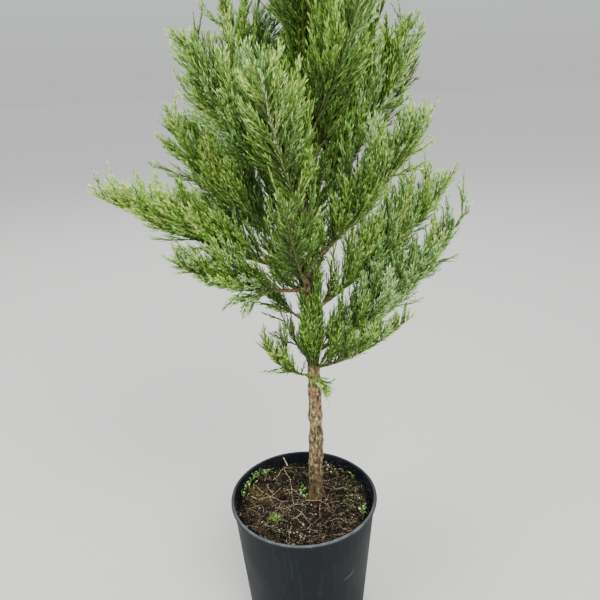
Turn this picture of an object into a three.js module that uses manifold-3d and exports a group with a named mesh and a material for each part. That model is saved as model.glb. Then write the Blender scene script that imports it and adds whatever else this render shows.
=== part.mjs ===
// A young giant redwood in its round nursery pot: a bare lower trunk, boughs that leave it all the way
// up to a narrow leader, and on each bough one mass of cord-like shoots set with short awl needles.
import * as THREE from "three";
import { mergeVertices } from "three/addons/utils/BufferGeometryUtils.js";
import Module from "manifold-3d";

const wasm = await Module();
wasm.setup();

// Driving dimensions, in millimetres, Z up, with the origin in the middle of the pot's underside
const CLEAR = 0.3; // gap between pieces that touch on the real plant
const SMALLEST_DETAIL = 0.12; // fused masses keep no detail finer than this

const POT_HEIGHT = 176;
const POT_SIDES = 40;
const RIM_RADIUS = 88; // outside of the rolled lip
const RIM_WALL_RADIUS = 85.2; // outside of the wall just under the lip
const BASE_RADIUS = 71.2;
const LIP_RADIUS = 2.4; // half the height of the rolled lip
const LIP_FOOT = POT_HEIGHT - LIP_RADIUS * 2;
const WALL = 1.6;
const BASE_ROUNDING = 2;
const DRAIN_HOLES = 6;
const DRAIN_RADIUS = 4.5;
const DRAIN_CIRCLE = 56;
const DRAIN_SIDES = 8;

const SOIL_DEPTH = 18; // from the rim down to the potting mix
const SOIL_HEIGHT = POT_HEIGHT - SOIL_DEPTH;
const SOIL_RINGS = [22, 42, 62];
const SOIL_BUMP = 2.2;

const TRUNK_FOOT = new THREE.Vector3(15.4, 18.7, SOIL_HEIGHT + CLEAR);
const TRUNK_TOP = new THREE.Vector3(12, 15, 842);
const TRUNK_BOW = 2.5; // how far the trunk swings from side to side of its line
const TRUNK_SIDES = 10;
const TRUNK_RINGS = 26;
const FLARE_HEIGHT = 9;
const FLARE_WIDTH = 3.4;
const FLARE_ROOTS = 5;
const LEADER_LENGTH = 66;
const LEADER_SHOOTS = 6;
// Trunk radius at a few heights above the pot's underside
const TRUNK_TAPER = [
  [158, 8.9],
  [230, 8.4],
  [300, 7.7],
  [345, 6.4],
  [440, 5],
  [600, 3.5],
  [750, 2.2],
  [842, 1.5],
];

const BOUGH_SIDES = 5;
const BOUGH_RINGS = 3;
const COLLAR = 1.4; // a bough's foot against its own width
const TIP_SHARE = 0.45; // width left at the end of a bough's whole length
// A bough is bare for this length and share of it before its foliage starts
const BARE_LENGTH = 12;
const BARE_SHARE = 0.14;
const BARE_MOST = 0.35;

// Boughs that the view shows: the height of the foot, the bearing seen from above (0 to the right, 90
// to the back), how far the tip reaches out and rises, the slope and the radius at the trunk, and the
// number of side shoots.
const SHOWN_BOUGHS = {
  left_small: { foot: 329, bearing: 205, reach: 58, rise: 48, slope: 5, radius: 1.5, shoots: 4 },
  left_upright: { foot: 346, bearing: 145, reach: 46, rise: 60, slope: 25, radius: 1.4, shoots: 3 },
  front_drooping: { foot: 334, bearing: 293, reach: 38, rise: -22, slope: 8, radius: 1.3, shoots: 3 },
  right_low: { foot: 338, bearing: 346, reach: 112, rise: 74, slope: 14, radius: 2.1, shoots: 6 },
  right_long: { foot: 358, bearing: 0, reach: 170, rise: 166, slope: 22, radius: 2.7, shoots: 9 },
  back_left: { foot: 392, bearing: 140, reach: 80, rise: 34, slope: 18, radius: 1.7, shoots: 4 },
  right_second: { foot: 406, bearing: 22, reach: 176, rise: 130, slope: 26, radius: 2.5, shoots: 8 },
  left_low: { foot: 434, bearing: 200, reach: 138, rise: 50, slope: 4, radius: 2.2, shoots: 7 },
  left_long: { foot: 452, bearing: 184, reach: 213, rise: 98, slope: 18, radius: 2.9, shoots: 9 },
  right_middle: { foot: 462, bearing: 338, reach: 121, rise: 152, slope: 38, radius: 2.3, shoots: 7 },
  left_middle: { foot: 468, bearing: 160, reach: 154, rise: 140, slope: 28, radius: 2.4, shoots: 8 },
  right_upper: { foot: 506, bearing: 14, reach: 113, rise: 196, slope: 44, radius: 2.3, shoots: 7 },
  left_upper: { foot: 524, bearing: 206, reach: 116, rise: 168, slope: 44, radius: 2.3, shoots: 7 },
  right_top: { foot: 558, bearing: 345, reach: 86, rise: 172, slope: 52, radius: 2, shoots: 6 },
  left_top: { foot: 568, bearing: 158, reach: 92, rise: 180, slope: 54, radius: 2, shoots: 6 },
};

// Boughs that fill the rest of the crown, bottom to top, to the front and the back in turn. The higher
// ones swing further to the sides, where fewer of those above stand.
const FILLING = {
  name: "crown",
  count: 11,
  lowest: 442,
  highest: 808,
  firstBearing: 270,
  swing: [15, 75],
  swingStep: 2.2,
  reach: [132, 44],
  rise: [118, 70],
  archedRise: 56,
  slope: [24, 60],
  radius: [2.4, 1.1],
  shoots: [8, 4],
};

const SHOOT_SPREAD = 42; // degrees between a shoot and its stem
const SHOOT_ROLL = [18, 74]; // how far to either side of the stem's upper face a shoot stands
const SHOOT_UPTURN = 0.5; // share of straight up in a shoot's outer half
const SHOOT_SHARE = 0.52; // longest shoot against its bough's length
const SHOOT_LONGEST = 104;
const SHORTER = [1, 0.72, 0.5]; // lengths that a shoot tries before it is skipped
const CORD_SHARE = 0.42; // a side cord against its shoot's length
const CORD_SPREAD = 34;
const CORD_PLACE = 0.4;
const CORD_EVERY = 2; // one shoot in this many carries a cord
const SHORTEST = 13;
const SPACE_LIFT = 26; // a mass lies this much above a level stem, because its shoots turn up
const STEM_STEPS = 10;

const SHOOT_RADIUS = 1.5;
const SHOOT_TAPER = 0.55; // share of its radius that a shoot loses on the way to its tip
const CORD_RADIUS = 1.2;
const NEEDLE_PITCH = 16; // along a shoot, each needle standing for the spray round it
const NEEDLE_REACH = 8.5;
const NEEDLE_TAPER = 0.3;
const NEEDLE_SWEEP = 0.7; // share of the pitch that a needle's tip lies ahead of its root
const ROOM_SHARE = 0.62; // of a needle's reach that is kept clear round a shoot
const SUNK = 0.9; // how deep a root is sunk, as a share of the stem's radius

const UP = new THREE.Vector3(0, 0, 1);

// The same draws on every run: the minimal standard generator
function seeded(seed) {
  let state = (seed * 7919 + 104729) % 2147483647;
  return () => {
    state = (state * 48271) % 2147483647;
    return state / 2147483647;
  };
}

const mix = (range, share) => range[0] + (range[1] - range[0]) * share;
const radians = THREE.MathUtils.degToRad;

// Joining and cutting

// A closed geometry as a solid, with its shared corners merged and its faces turned outwards
function solidOf(geometry) {
  const bare = geometry.clone();
  bare.deleteAttribute("normal");
  bare.deleteAttribute("uv");
  const merged = mergeVertices(bare, 1e-4);
  const index = merged.index.array;
  const corners = [];
  for (let i = 0; i < index.length; i += 3) {
    const [a, b, c] = [index[i], index[i + 1], index[i + 2]];
    if (a !== b && b !== c && c !== a) corners.push(a, b, c);
  }
  const made = (triVerts) =>
    new wasm.Manifold(
      new wasm.Mesh({
        numProp: 3,
        vertProperties: merged.attributes.position.array,
        triVerts: new Uint32Array(triVerts),
      }),
    );
  const solid = made(corners);
  if (solid.volume() > 0) return solid;
  return made(corners.slice().reverse());
}

// The solid's largest body alone: loose scraps are dropped and sealed hollows are filled
function oneBody(solid) {
  const bodies = solid.decompose().sort((a, b) => b.volume() - a.volume());
  return bodies[0];
}

function geometryOf(solid) {
  const mesh = solid.getMesh();
  const geometry = new THREE.BufferGeometry();
  const positions = new THREE.BufferAttribute(new Float32Array(mesh.vertProperties), 3);
  geometry.setAttribute("position", positions);
  geometry.setIndex(new THREE.BufferAttribute(mesh.triVerts, 1));
  geometry.computeVertexNormals();
  return geometry;
}

// A closed skin over rings of corners, each end drawn to a point or closed flat
function skin(rings) {
  const positions = rings.flat().flatMap((corner) => corner.toArray());
  const sides = rings[1].length;
  const index = [];
  const starts = [];
  rings.reduce((count, ring) => {
    starts.push(count);
    return count + ring.length;
  }, 0);
  const fan = (start, flip) => {
    for (let k = 1; k < sides - 1; k += 1) {
      const [a, b, c] = [start, start + k, start + k + 1];
      index.push(...(flip ? [a, c, b] : [a, b, c]));
    }
  };
  for (let i = 0; i < rings.length - 1; i += 1) {
    for (let k = 0; k < sides; k += 1) {
      const next = (k + 1) % sides;
      const a = starts[i] + k;
      const b = starts[i] + next;
      if (rings[i + 1].length === 1) {
        index.push(a, b, starts[i + 1]);
      } else {
        const c = starts[i + 1] + k;
        const d = starts[i + 1] + next;
        index.push(a, b, d, a, d, c);
      }
    }
  }
  fan(starts[0], true);
  const last = rings.length - 1;
  if (rings[last].length > 1) fan(starts[last], false);
  const geometry = new THREE.BufferGeometry();
  geometry.setAttribute("position", new THREE.Float32BufferAttribute(positions, 3));
  geometry.setIndex(index);
  return geometry;
}

// Two directions square to a tangent, turning little along a gentle curve
function squareTo(tangent, start) {
  const reference = Math.abs(start.z) < 0.9 ? UP : new THREE.Vector3(1, 0, 0);
  const across = new THREE.Vector3().crossVectors(tangent, reference).normalize();
  const over = new THREE.Vector3().crossVectors(across, tangent).normalize();
  return [across, over];
}

// A limb of round rings along a curve, from one place on it to another
function limb(curve, from, to, ringCount, sides, radiusAt) {
  const start = curve.getTangent(0);
  const rings = [];
  for (let i = 0; i <= ringCount; i += 1) {
    const t = from + ((to - from) * i) / ringCount;
    const middle = curve.getPoint(t);
    const [across, over] = squareTo(curve.getTangent(t), start);
    const ring = [];
    for (let k = 0; k < sides; k += 1) {
      const turn = (2 * Math.PI * k) / sides;
      const radius = radiusAt(t, turn);
      ring.push(
        middle
          .clone()
          .addScaledVector(across, radius * Math.cos(turn))
          .addScaledVector(over, radius * Math.sin(turn)),
      );
    }
    rings.push(ring);
  }
  return skin(rings);
}

// A three-sided shoot drawn to a point, with a needle standing out of each side in turn
function needledShoot(curve, length, radius) {
  const start = curve.getTangent(0);
  const count = Math.max(3, Math.round(length / NEEDLE_PITCH) + 1);
  const rings = [];
  for (let i = 0; i < count; i += 1) {
    const t = i / count;
    const middle = curve.getPoint(t);
    const tangent = curve.getTangent(t);
    const [across, over] = squareTo(tangent, start);
    const slim = radius * (1 - SHOOT_TAPER * t);
    const ring = [];
    for (let side = 0; side < 3; side += 1) {
      const turn = (2 * Math.PI * side) / 3;
      const needled = i > 0 && i % 3 === side;
      const reach = needled ? NEEDLE_REACH * (1 - NEEDLE_TAPER * t) : slim;
      const sweep = needled ? (NEEDLE_SWEEP * length) / count : 0;
      ring.push(
        middle
          .clone()
          .addScaledVector(across, reach * Math.cos(turn))
          .addScaledVector(over, reach * Math.sin(turn))
          .addScaledVector(tangent, sweep),
      );
    }
    rings.push(ring);
  }
  rings.push([curve.getPoint(1)]);
  return skin(rings);
}

// The pot and its potting mix

function turned(profile) {
  const points = profile.map(([radius, height]) => new THREE.Vector2(radius, height));
  return solidOf(new THREE.LatheGeometry(points, POT_SIDES).rotateX(Math.PI / 2));
}

// The inside of the wall at a height
function insideRadius(height) {
  const slope = (RIM_WALL_RADIUS - BASE_RADIUS) / LIP_FOOT;
  return BASE_RADIUS + slope * height - WALL;
}

function pot() {
  const lipHeight = POT_HEIGHT - LIP_RADIUS;
  const lipMiddle = RIM_RADIUS - LIP_RADIUS;
  const lip = [-60, -20, 20, 60, 100, 140].map((degrees) => [
    lipMiddle + LIP_RADIUS * Math.cos(radians(degrees)),
    lipHeight + LIP_RADIUS * Math.sin(radians(degrees)),
  ]);
  const top = Math.max(...lip.map(([, height]) => height));
  const wall = turned([
    [0, 0],
    [BASE_RADIUS - BASE_ROUNDING, 0],
    [BASE_RADIUS, BASE_ROUNDING],
    [RIM_WALL_RADIUS, LIP_FOOT],
    ...lip.map(([radius, height]) => [radius, height + POT_HEIGHT - top]),
    [insideRadius(LIP_FOOT), LIP_FOOT],
    [insideRadius(WALL), WALL],
    [0, WALL],
  ]);
  const hole = new THREE.CylinderGeometry(DRAIN_RADIUS, DRAIN_RADIUS, 6 * WALL, DRAIN_SIDES);
  hole.rotateX(Math.PI / 2);
  let drained = wall;
  for (let k = 0; k < DRAIN_HOLES; k += 1) {
    const turn = (2 * Math.PI * k) / DRAIN_HOLES;
    const placed = hole.clone().translate(DRAIN_CIRCLE * Math.cos(turn), DRAIN_CIRCLE * Math.sin(turn), 0);
    drained = drained.subtract(solidOf(placed));
  }
  return drained;
}

// The crumbly surface lies a little lower near the trunk, whose cut stands clear of it
function soilHeight(x, y) {
  const away = Math.min(1, Math.hypot(x - TRUNK_FOOT.x, y - TRUNK_FOOT.y) / 30);
  const waves = Math.sin(x * 0.11 + 1.3) * Math.cos(y * 0.13) + 0.6 * Math.sin(x * 0.05 - y * 0.09);
  return SOIL_HEIGHT + SOIL_BUMP * away * away * (waves - 0.4);
}

function pottingMix() {
  const bottom = WALL + CLEAR;
  const ringAt = (radius, height) => {
    const ring = [];
    for (let k = 0; k < POT_SIDES; k += 1) {
      const turn = (2 * Math.PI * k) / POT_SIDES;
      const [x, y] = [radius * Math.sin(turn), -radius * Math.cos(turn)];
      ring.push(new THREE.Vector3(x, y, height ?? soilHeight(x, y)));
    }
    return ring;
  };
  const edge = insideRadius(SOIL_HEIGHT - SOIL_BUMP) - CLEAR;
  const rings = [ringAt(insideRadius(bottom) - CLEAR, bottom), ringAt(edge, null)];
  SOIL_RINGS.slice()
    .reverse()
    .forEach((radius) => rings.push(ringAt(radius, null)));
  rings.push([new THREE.Vector3(0, 0, soilHeight(0, 0))]);
  return solidOf(skin(rings));
}

// The trunk

const trunkCurve = new THREE.CatmullRomCurve3(
  [0, 0.2, 0.4, 0.6, 0.8, 1].map((share, i) => {
    const swing = TRUNK_BOW * Math.sin(share * 9.2);
    const side = TRUNK_BOW * 0.8 * Math.sin(share * 7.1 + i);
    return TRUNK_FOOT.clone()
      .lerp(TRUNK_TOP, share)
      .add(new THREE.Vector3(share ? swing : 0, share ? side : 0, 0));
  }),
);

function trunkRadius(height) {
  const last = TRUNK_TAPER.length - 1;
  for (let i = 0; i < last; i += 1) {
    const [low, wide] = TRUNK_TAPER[i];
    const [high, narrow] = TRUNK_TAPER[i + 1];
    if (height <= high) return mix([wide, narrow], Math.max(0, height - low) / (high - low));
  }
  return TRUNK_TAPER[last][1];
}

// Flared over the roots at its foot, and ridged a little by its flaking bark
function trunk(extra) {
  return solidOf(
    limb(trunkCurve, 0, 1, TRUNK_RINGS, TRUNK_SIDES, (t, turn) => {
      const height = trunkCurve.getPoint(t).z;
      const above = height - TRUNK_FOOT.z;
      const roots = 0.6 + 0.4 * Math.cos(FLARE_ROOTS * turn);
      const flare = FLARE_WIDTH * roots * Math.exp(-above / FLARE_HEIGHT);
      const knob = 1 + 0.05 * Math.sin(height * 0.21) + 0.03 * Math.sin(3 * turn + height * 0.06);
      return trunkRadius(height) * knob + flare + extra;
    }),
  );
}

// Where the trunk's middle is at a height
function trunkAt(height) {
  const share = (height - TRUNK_FOOT.z) / (TRUNK_TOP.z - TRUNK_FOOT.z);
  return trunkCurve.getPoint(THREE.MathUtils.clamp(share, 0, 1));
}

// The boughs and the spaces of their masses

function allBoughs() {
  const list = Object.entries(SHOWN_BOUGHS).map(([name, sizes]) => ({ name, ...sizes }));
  for (let i = 0; i < FILLING.count; i += 1) {
    const share = i / (FILLING.count - 1);
    const swing = mix(FILLING.swing, share) * Math.sin(FILLING.swingStep * i - 0.6);
    list.push({
      name: FILLING.name + "_" + String(i + 1).padStart(2, "0"),
      foot: mix([FILLING.lowest, FILLING.highest], share),
      bearing: FILLING.firstBearing + 180 * i + swing,
      reach: mix(FILLING.reach, share),
      rise: mix(FILLING.rise, share) + FILLING.archedRise * Math.sin(Math.PI * share),
      slope: mix(FILLING.slope, share),
      radius: mix(FILLING.radius, share),
      shoots: Math.round(mix(FILLING.shoots, share)),
    });
  }
  return list;
}

// A bough's whole line, from inside the trunk to the tip of its mass
function boughCurve(bough) {
  const foot = trunkAt(bough.foot);
  const bearing = radians(bough.bearing);
  const out = new THREE.Vector3(Math.cos(bearing), Math.sin(bearing), 0);
  const tip = foot.clone().addScaledVector(out, bough.reach).addScaledVector(UP, bough.rise);
  const halfway = bough.reach * 0.55;
  const bend = foot
    .clone()
    .addScaledVector(out, halfway)
    .addScaledVector(UP, halfway * Math.tan(radians(bough.slope)));
  return new THREE.QuadraticBezierCurve3(foot, bend, tip);
}

// Points along a curve from its start to a share of it
const lineOf = (curve, to, steps) =>
  Array.from({ length: steps + 1 }, (_, i) => curve.getPoint((to * i) / steps));

function distanceTo(point, line) {
  const nearest = new THREE.Vector3();
  const piece = new THREE.Line3();
  let least = Infinity;
  for (let i = 0; i < line.length - 1; i += 1) {
    piece.set(line[i], line[i + 1]);
    piece.closestPointToPoint(point, true, nearest);
    least = Math.min(least, nearest.distanceTo(point));
  }
  return least;
}

// Each mass owns what lies nearer to its own middle line than to any other mass's
function spaceLine(curve, from) {
  return Array.from({ length: STEM_STEPS + 1 }, (_, i) => {
    const t = from + ((1 - from) * i) / STEM_STEPS;
    const tangent = curve.getTangent(t);
    const level = Math.hypot(tangent.x, tangent.y);
    return curve.getPoint(t).addScaledVector(UP, SPACE_LIFT * level * Math.min(1, 2 * (1 - t) + 0.2));
  });
}

const boughs = allBoughs().map((bough, i) => {
  const curve = boughCurve(bough);
  const length = curve.getLength();
  const bare = Math.min(BARE_MOST, BARE_SHARE + BARE_LENGTH / length);
  return { ...bough, curve, length, bare, seed: i + 1, space: spaceLine(curve, bare) };
});

// The leader carries on from the trunk's tip as a mass of its own
const leaderCurve = new THREE.QuadraticBezierCurve3(
  TRUNK_TOP.clone().addScaledVector(UP, CLEAR),
  TRUNK_TOP.clone().add(new THREE.Vector3(1, -1, LEADER_LENGTH * 0.5)),
  TRUNK_TOP.clone().add(new THREE.Vector3(5, -2, LEADER_LENGTH)),
);
const leader = {
  name: "leader",
  curve: leaderCurve,
  length: LEADER_LENGTH,
  radius: trunkRadius(TRUNK_TOP.z),
  shoots: LEADER_SHOOTS,
  bare: 0,
  seed: boughs.length + 1,
  space: spaceLine(leaderCurve, 0),
};
const masses = [...boughs, leader];

const boughRadius = (bough, t) => {
  const collar = 1 + (COLLAR - 1) * Math.exp(-t * 22);
  return bough.radius * collar * (1 - (1 - TIP_SHARE) * t);
};

// The limbs that no shoot may touch, as lines with a radius
const limbs = [
  { line: lineOf(trunkCurve, 1, 40), radius: (point) => trunkRadius(point.z) + 0.6 },
  ...boughs.map((bough) => ({ line: lineOf(bough.curve, bough.bare, 4), radius: () => bough.radius })),
];

function fits(mass, points, reach) {
  return points.every((point) => {
    const own = distanceTo(point, mass.space);
    const others = masses
      .filter((other) => other !== mass)
      .every((other) => distanceTo(point, other.space) - own > 2 * reach + 0.4);
    if (!others) return false;
    return limbs.every((one) => distanceTo(point, one.line) > one.radius(point) + reach + CLEAR);
  });
}

const bentCurve = (root, first, second, length) =>
  new THREE.QuadraticBezierCurve3(
    root.clone(),
    root.clone().addScaledVector(first, length * 0.5),
    root.clone().addScaledVector(first, length * 0.5).addScaledVector(second, length * 0.5),
  );

// A direction that leans off a stem by some degrees
const leaning = (tangent, outward, degrees) =>
  tangent
    .clone()
    .multiplyScalar(Math.cos(radians(degrees)))
    .addScaledVector(outward, Math.sin(radians(degrees)));

const sampled = (curve, shares) => shares.map((share) => curve.getPoint(share));

// Side shoots stand to the left and right of the stem in turn and bend upwards. Each carries cords.
function shootsOf(mass) {
  const draw = seeded(mass.seed);
  const from = mass.bare;
  const shoots = [];
  for (let k = 0; k < mass.shoots; k += 1) {
    const share = (k + 0.35 + 0.5 * draw()) / mass.shoots;
    const t = from + (0.96 - from) * share;
    const side = k % 2 ? 1 : -1;
    const roll = side * mix(SHOOT_ROLL, draw());
    const spread = SHOOT_SPREAD * (0.8 + 0.4 * draw());
    const wanted = Math.min(SHOOT_LONGEST, SHOOT_SHARE * mass.length) * (0.8 + 0.35 * draw());
    const profile = Math.sqrt(Math.max(0, 1 - share * 0.86)) * (0.7 + 0.3 * Math.min(1, share * 4));
    const tangent = mass.curve.getTangent(t);
    const [across, over] = squareTo(tangent, mass.curve.getTangent(0));
    const first = leaning(tangent, leaning(over, across, roll), spread);
    const second = first.clone().lerp(UP, SHOOT_UPTURN).normalize();
    const root = mass.curve.getPoint(t);
    for (const shorter of SHORTER) {
      const length = wanted * profile * shorter;
      if (length < SHORTEST) break;
      const curve = bentCurve(root, first, second, length);
      if (!fits(mass, sampled(curve, [0.3, 0.5, 0.75, 1]), NEEDLE_REACH * ROOM_SHARE)) continue;
      shoots.push({ curve, length, k });
      break;
    }
  }
  return shoots;
}

function cordsOf(mass, shoots) {
  const draw = seeded(mass.seed + 500);
  const cords = [];
  shoots.forEach((shoot) => {
    const side = draw() < 0.5 ? 1 : -1;
    const tilt = draw() - 0.5;
    const length = CORD_SHARE * shoot.length * (0.85 + 0.3 * draw());
    if (shoot.k % CORD_EVERY || length < SHORTEST) return;
    const tangent = shoot.curve.getTangent(CORD_PLACE);
    const [across, over] = squareTo(tangent, shoot.curve.getTangent(0));
    const outward = across.clone().multiplyScalar(side).addScaledVector(over, tilt).normalize();
    const first = leaning(tangent, outward, CORD_SPREAD);
    const second = first.clone().lerp(tangent, 0.5).normalize();
    const curve = bentCurve(shoot.curve.getPoint(CORD_PLACE), first, second, length);
    if (fits(mass, sampled(curve, [0.5, 1]), NEEDLE_REACH * ROOM_SHARE)) cords.push({ curve, length });
  });
  return cords;
}

// A bough is cut to the trunk's skin and ends square where its mass begins
function boughSolid(bough, trunkWithGap) {
  const geometry = limb(bough.curve, 0, bough.bare, BOUGH_RINGS, BOUGH_SIDES, (t) =>
    boughRadius(bough, t),
  );
  return oneBody(solidOf(geometry).subtract(trunkWithGap));
}

function massSolid(mass, trunkWithGap) {
  const start = mass.bare + CLEAR / mass.length;
  const stemRadius = (t) => (mass === leader ? mass.radius * (1 - 0.5 * t) : boughRadius(mass, t));
  const stemEnd = 0.62 + 0.38 * start;
  const stem = solidOf(limb(mass.curve, start, stemEnd, 4, 3, stemRadius));
  const tipCurve = new THREE.QuadraticBezierCurve3(
    mass.curve.getPoint(stemEnd - 0.03),
    mass.curve.getPoint((stemEnd + 0.97) / 2),
    mass.curve.getPoint(1),
  );
  const tip = solidOf(needledShoot(tipCurve, tipCurve.getLength(), stemRadius(stemEnd) * SUNK));
  const shoots = shootsOf(mass);
  const cords = cordsOf(mass, shoots);
  const grown = [
    ...shoots.map((shoot) => needledShoot(shoot.curve, shoot.length, SHOOT_RADIUS)),
    ...cords.map((cord) => needledShoot(cord.curve, cord.length, CORD_RADIUS)),
  ].map(solidOf);
  const fused = wasm.Manifold.union([stem, tip, ...grown]);
  return oneBody(oneBody(fused.subtract(trunkWithGap)).simplify(SMALLEST_DETAIL));
}

// Finishes
const potPlastic = { color: 0x32383c, roughness: 0.5, metalness: 0 };
const compost = { color: 0x33271b, roughness: 0.95, metalness: 0 };
const bark = { color: 0x8a7350, roughness: 0.9, metalness: 0 };
const boughBark = { color: 0x7d6a44, roughness: 0.85, metalness: 0 };
const needleGreens = [0x4f7334, 0x5c8440, 0x6c9148];

const group = new THREE.Group();
group.name = "potted_young_giant_redwood";

function addPiece(name, solid, finish) {
  const piece = new THREE.Mesh(geometryOf(solid), new THREE.MeshStandardMaterial(finish));
  piece.name = name;
  group.add(piece);
}

const trunkWithGap = trunk(CLEAR);
addPiece("pot", pot(), potPlastic);
addPiece("potting_mix", pottingMix(), compost);
addPiece("trunk", trunk(0), bark);
boughs.forEach((bough) => addPiece("bough_" + bough.name, boughSolid(bough, trunkWithGap), boughBark));
masses.forEach((mass, i) => {
  const green = needleGreens[i % needleGreens.length];
  const finish = { color: green, roughness: 0.65, metalness: 0 };
  addPiece("foliage_" + mass.name, massSolid(mass, trunkWithGap), finish);
});

export default group;
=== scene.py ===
# %% [markdown]
# # A young giant redwood in its nursery pot
# The object is a tree about 0.9 m tall: a straight trunk with soft tan bark, boughs that sweep out and
# up, and a feathery crown of cord-like shoots set with short needles. It stands in a dark moulded pot.
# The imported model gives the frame: how wide, how tall and where each limb is. This lesson dresses that
# frame. Everything is worked out in millimetres and becomes metres when a mesh is made.

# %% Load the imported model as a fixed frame
import math

import bpy
import numpy as np
from mathutils import Matrix, Vector


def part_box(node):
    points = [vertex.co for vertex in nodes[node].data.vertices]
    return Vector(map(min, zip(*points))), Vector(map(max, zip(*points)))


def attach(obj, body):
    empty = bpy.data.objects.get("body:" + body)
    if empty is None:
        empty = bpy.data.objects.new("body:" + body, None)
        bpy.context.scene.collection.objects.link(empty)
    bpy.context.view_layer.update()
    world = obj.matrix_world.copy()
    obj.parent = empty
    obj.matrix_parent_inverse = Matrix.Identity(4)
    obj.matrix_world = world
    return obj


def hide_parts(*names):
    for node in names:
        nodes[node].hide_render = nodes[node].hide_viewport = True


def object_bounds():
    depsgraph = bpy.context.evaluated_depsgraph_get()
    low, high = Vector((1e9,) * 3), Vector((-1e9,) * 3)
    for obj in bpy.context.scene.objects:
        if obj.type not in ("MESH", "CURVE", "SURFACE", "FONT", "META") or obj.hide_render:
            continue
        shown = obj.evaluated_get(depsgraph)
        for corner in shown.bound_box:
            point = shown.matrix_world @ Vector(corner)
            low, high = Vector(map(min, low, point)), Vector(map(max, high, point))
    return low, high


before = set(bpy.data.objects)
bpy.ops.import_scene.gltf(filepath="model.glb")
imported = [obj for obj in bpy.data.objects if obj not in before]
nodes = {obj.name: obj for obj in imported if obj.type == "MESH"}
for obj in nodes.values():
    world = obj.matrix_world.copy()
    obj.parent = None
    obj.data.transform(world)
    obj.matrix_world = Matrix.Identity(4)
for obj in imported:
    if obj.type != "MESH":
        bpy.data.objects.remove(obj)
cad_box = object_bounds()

print("nodes in the frame:", len(nodes))

# %% [markdown]
# ## The camera
# The picture was taken from a little above the crown's middle, looking down at the pot, with the phone
# turned two degrees. A camera looks along its own -Z, so its axes are built from the way it looks, its
# right and its up, and the small roll turns the last two about the first.

# %% The camera
MM = 0.001
CAMERA_PLACE = np.array([3.784, -595.144, 658.152])
LOOK_DOWN = math.radians(21.13)
ROLL = math.radians(-2.06)
SENSOR, LENS = 36, 36
FAR_CLIP = 50

look = np.array([0.0, math.cos(LOOK_DOWN), -math.sin(LOOK_DOWN)])
level_right = np.array([1.0, 0.0, 0.0])
level_up = np.cross(level_right, look)
right = level_right * math.cos(ROLL) + level_up * math.sin(ROLL)
up_way = -level_right * math.sin(ROLL) + level_up * math.cos(ROLL)
turned = Matrix([[right[i], up_way[i], -look[i]] for i in range(3)]).to_4x4()
camera = bpy.data.objects.new("camera", bpy.data.cameras.new("camera"))
camera.data.sensor_width = SENSOR
camera.data.lens = LENS
camera.data.clip_end = FAR_CLIP
camera.matrix_world = Matrix.Translation(Vector(CAMERA_PLACE) * MM) @ turned
bpy.context.scene.collection.objects.link(camera)
bpy.context.scene.camera = camera
print("camera at", tuple(round(x, 3) for x in camera.location), "m")

# %% [markdown]
# ## Meshes from arrays
# A crown has far more needles than a modelling tool can copy one at a time. Numpy works out all the
# corners at once as one long list, and Blender reads the list into a mesh in a single step. Every piece
# here is made that way: a list of points, a list of faces, a finish, and the body that it moves with.


# %% A mesh and a piece from points and faces
def mesh_from(name, points, faces):
    """A mesh from points in mm and a list of face arrays of one width each."""
    mesh = bpy.data.meshes.new(name)
    mesh.vertices.add(len(points))
    mesh.vertices.foreach_set("co", (np.asarray(points) * MM).astype(np.float32).ravel())
    corners = np.concatenate([f.ravel() for f in faces]).astype(np.int32)
    widths = np.concatenate([np.full(len(f), f.shape[1]) for f in faces])
    starts = np.concatenate([[0], np.cumsum(widths)[:-1]]).astype(np.int32)
    mesh.loops.add(len(corners))
    mesh.loops.foreach_set("vertex_index", corners)
    mesh.polygons.add(len(widths))
    mesh.polygons.foreach_set("loop_start", starts)
    mesh.update(calc_edges=True)
    return mesh


def put_in_scene(name, data):
    """An object that shows a mesh or a light."""
    made = bpy.data.objects.new(name, data)
    bpy.context.scene.collection.objects.link(made)
    return made


def piece(name, points, faces, finish, slot, stands_for=(), smooth=False):
    """One piece of the tree, which moves with the root and stands for the nodes that it names."""
    mesh = mesh_from(name, points, faces)
    if smooth:
        mesh.polygons.foreach_set("use_smooth", np.ones(len(mesh.polygons), bool))
    mesh.materials.append(finish)
    made = put_in_scene(name, mesh)
    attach(made, "root")
    if stands_for:
        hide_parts(*stands_for)
    print(f"{name}: {sum(len(f) * (f.shape[1] - 2) for f in faces)} triangles")
    return made


# %% [markdown]
# Most shapes here are rings of points: the trunk, the boughs, the pot and the mix. Two functions give the
# faces between rings and the fan that closes one, and a third sets the same faces on many equal groups of
# points, such as needles or crumbs.


# %% Faces on rings and on groups of points
def full_turn(sides):
    """The angles of points set evenly round a circle."""
    return 2 * np.pi * np.arange(sides) / sides


def joined(rings, sides):
    """Four-cornered faces that join each ring of points to the next one."""
    k = np.arange(sides)
    k2 = (k + 1) % sides
    ring = sides * np.arange(rings - 1)[:, None]
    return np.stack([ring + k, ring + k2, ring + sides + k2, ring + sides + k], 2).reshape(-1, 4)


def fan(first, sides, middle, under=False):
    """Faces from a ring, whose first point is given, to one middle point. under turns them over."""
    k = np.arange(sides)
    rim = [first + k, first + (k + 1) % sides]
    return np.stack([*(rim[::-1] if under else rim), np.full(sides, middle)], 1)


def closed_rings(rings, first_middle, last_middle, turned_over=False):
    """Points and faces of rings joined one to the next, with a fan over the first and the last."""
    rows, sides = rings.shape[:2]
    points = np.concatenate([rings.reshape(-1, 3), [first_middle, last_middle]])
    ends = [fan(0, sides, rows * sides, under=True), fan((rows - 1) * sides, sides, rows * sides + 1)]
    faces = [joined(rows, sides), np.concatenate(ends)]
    if turned_over:
        faces = [faces[0][:, [0, 3, 2, 1]], faces[1][:, [1, 0, 2]]]
    return points, faces


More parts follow.
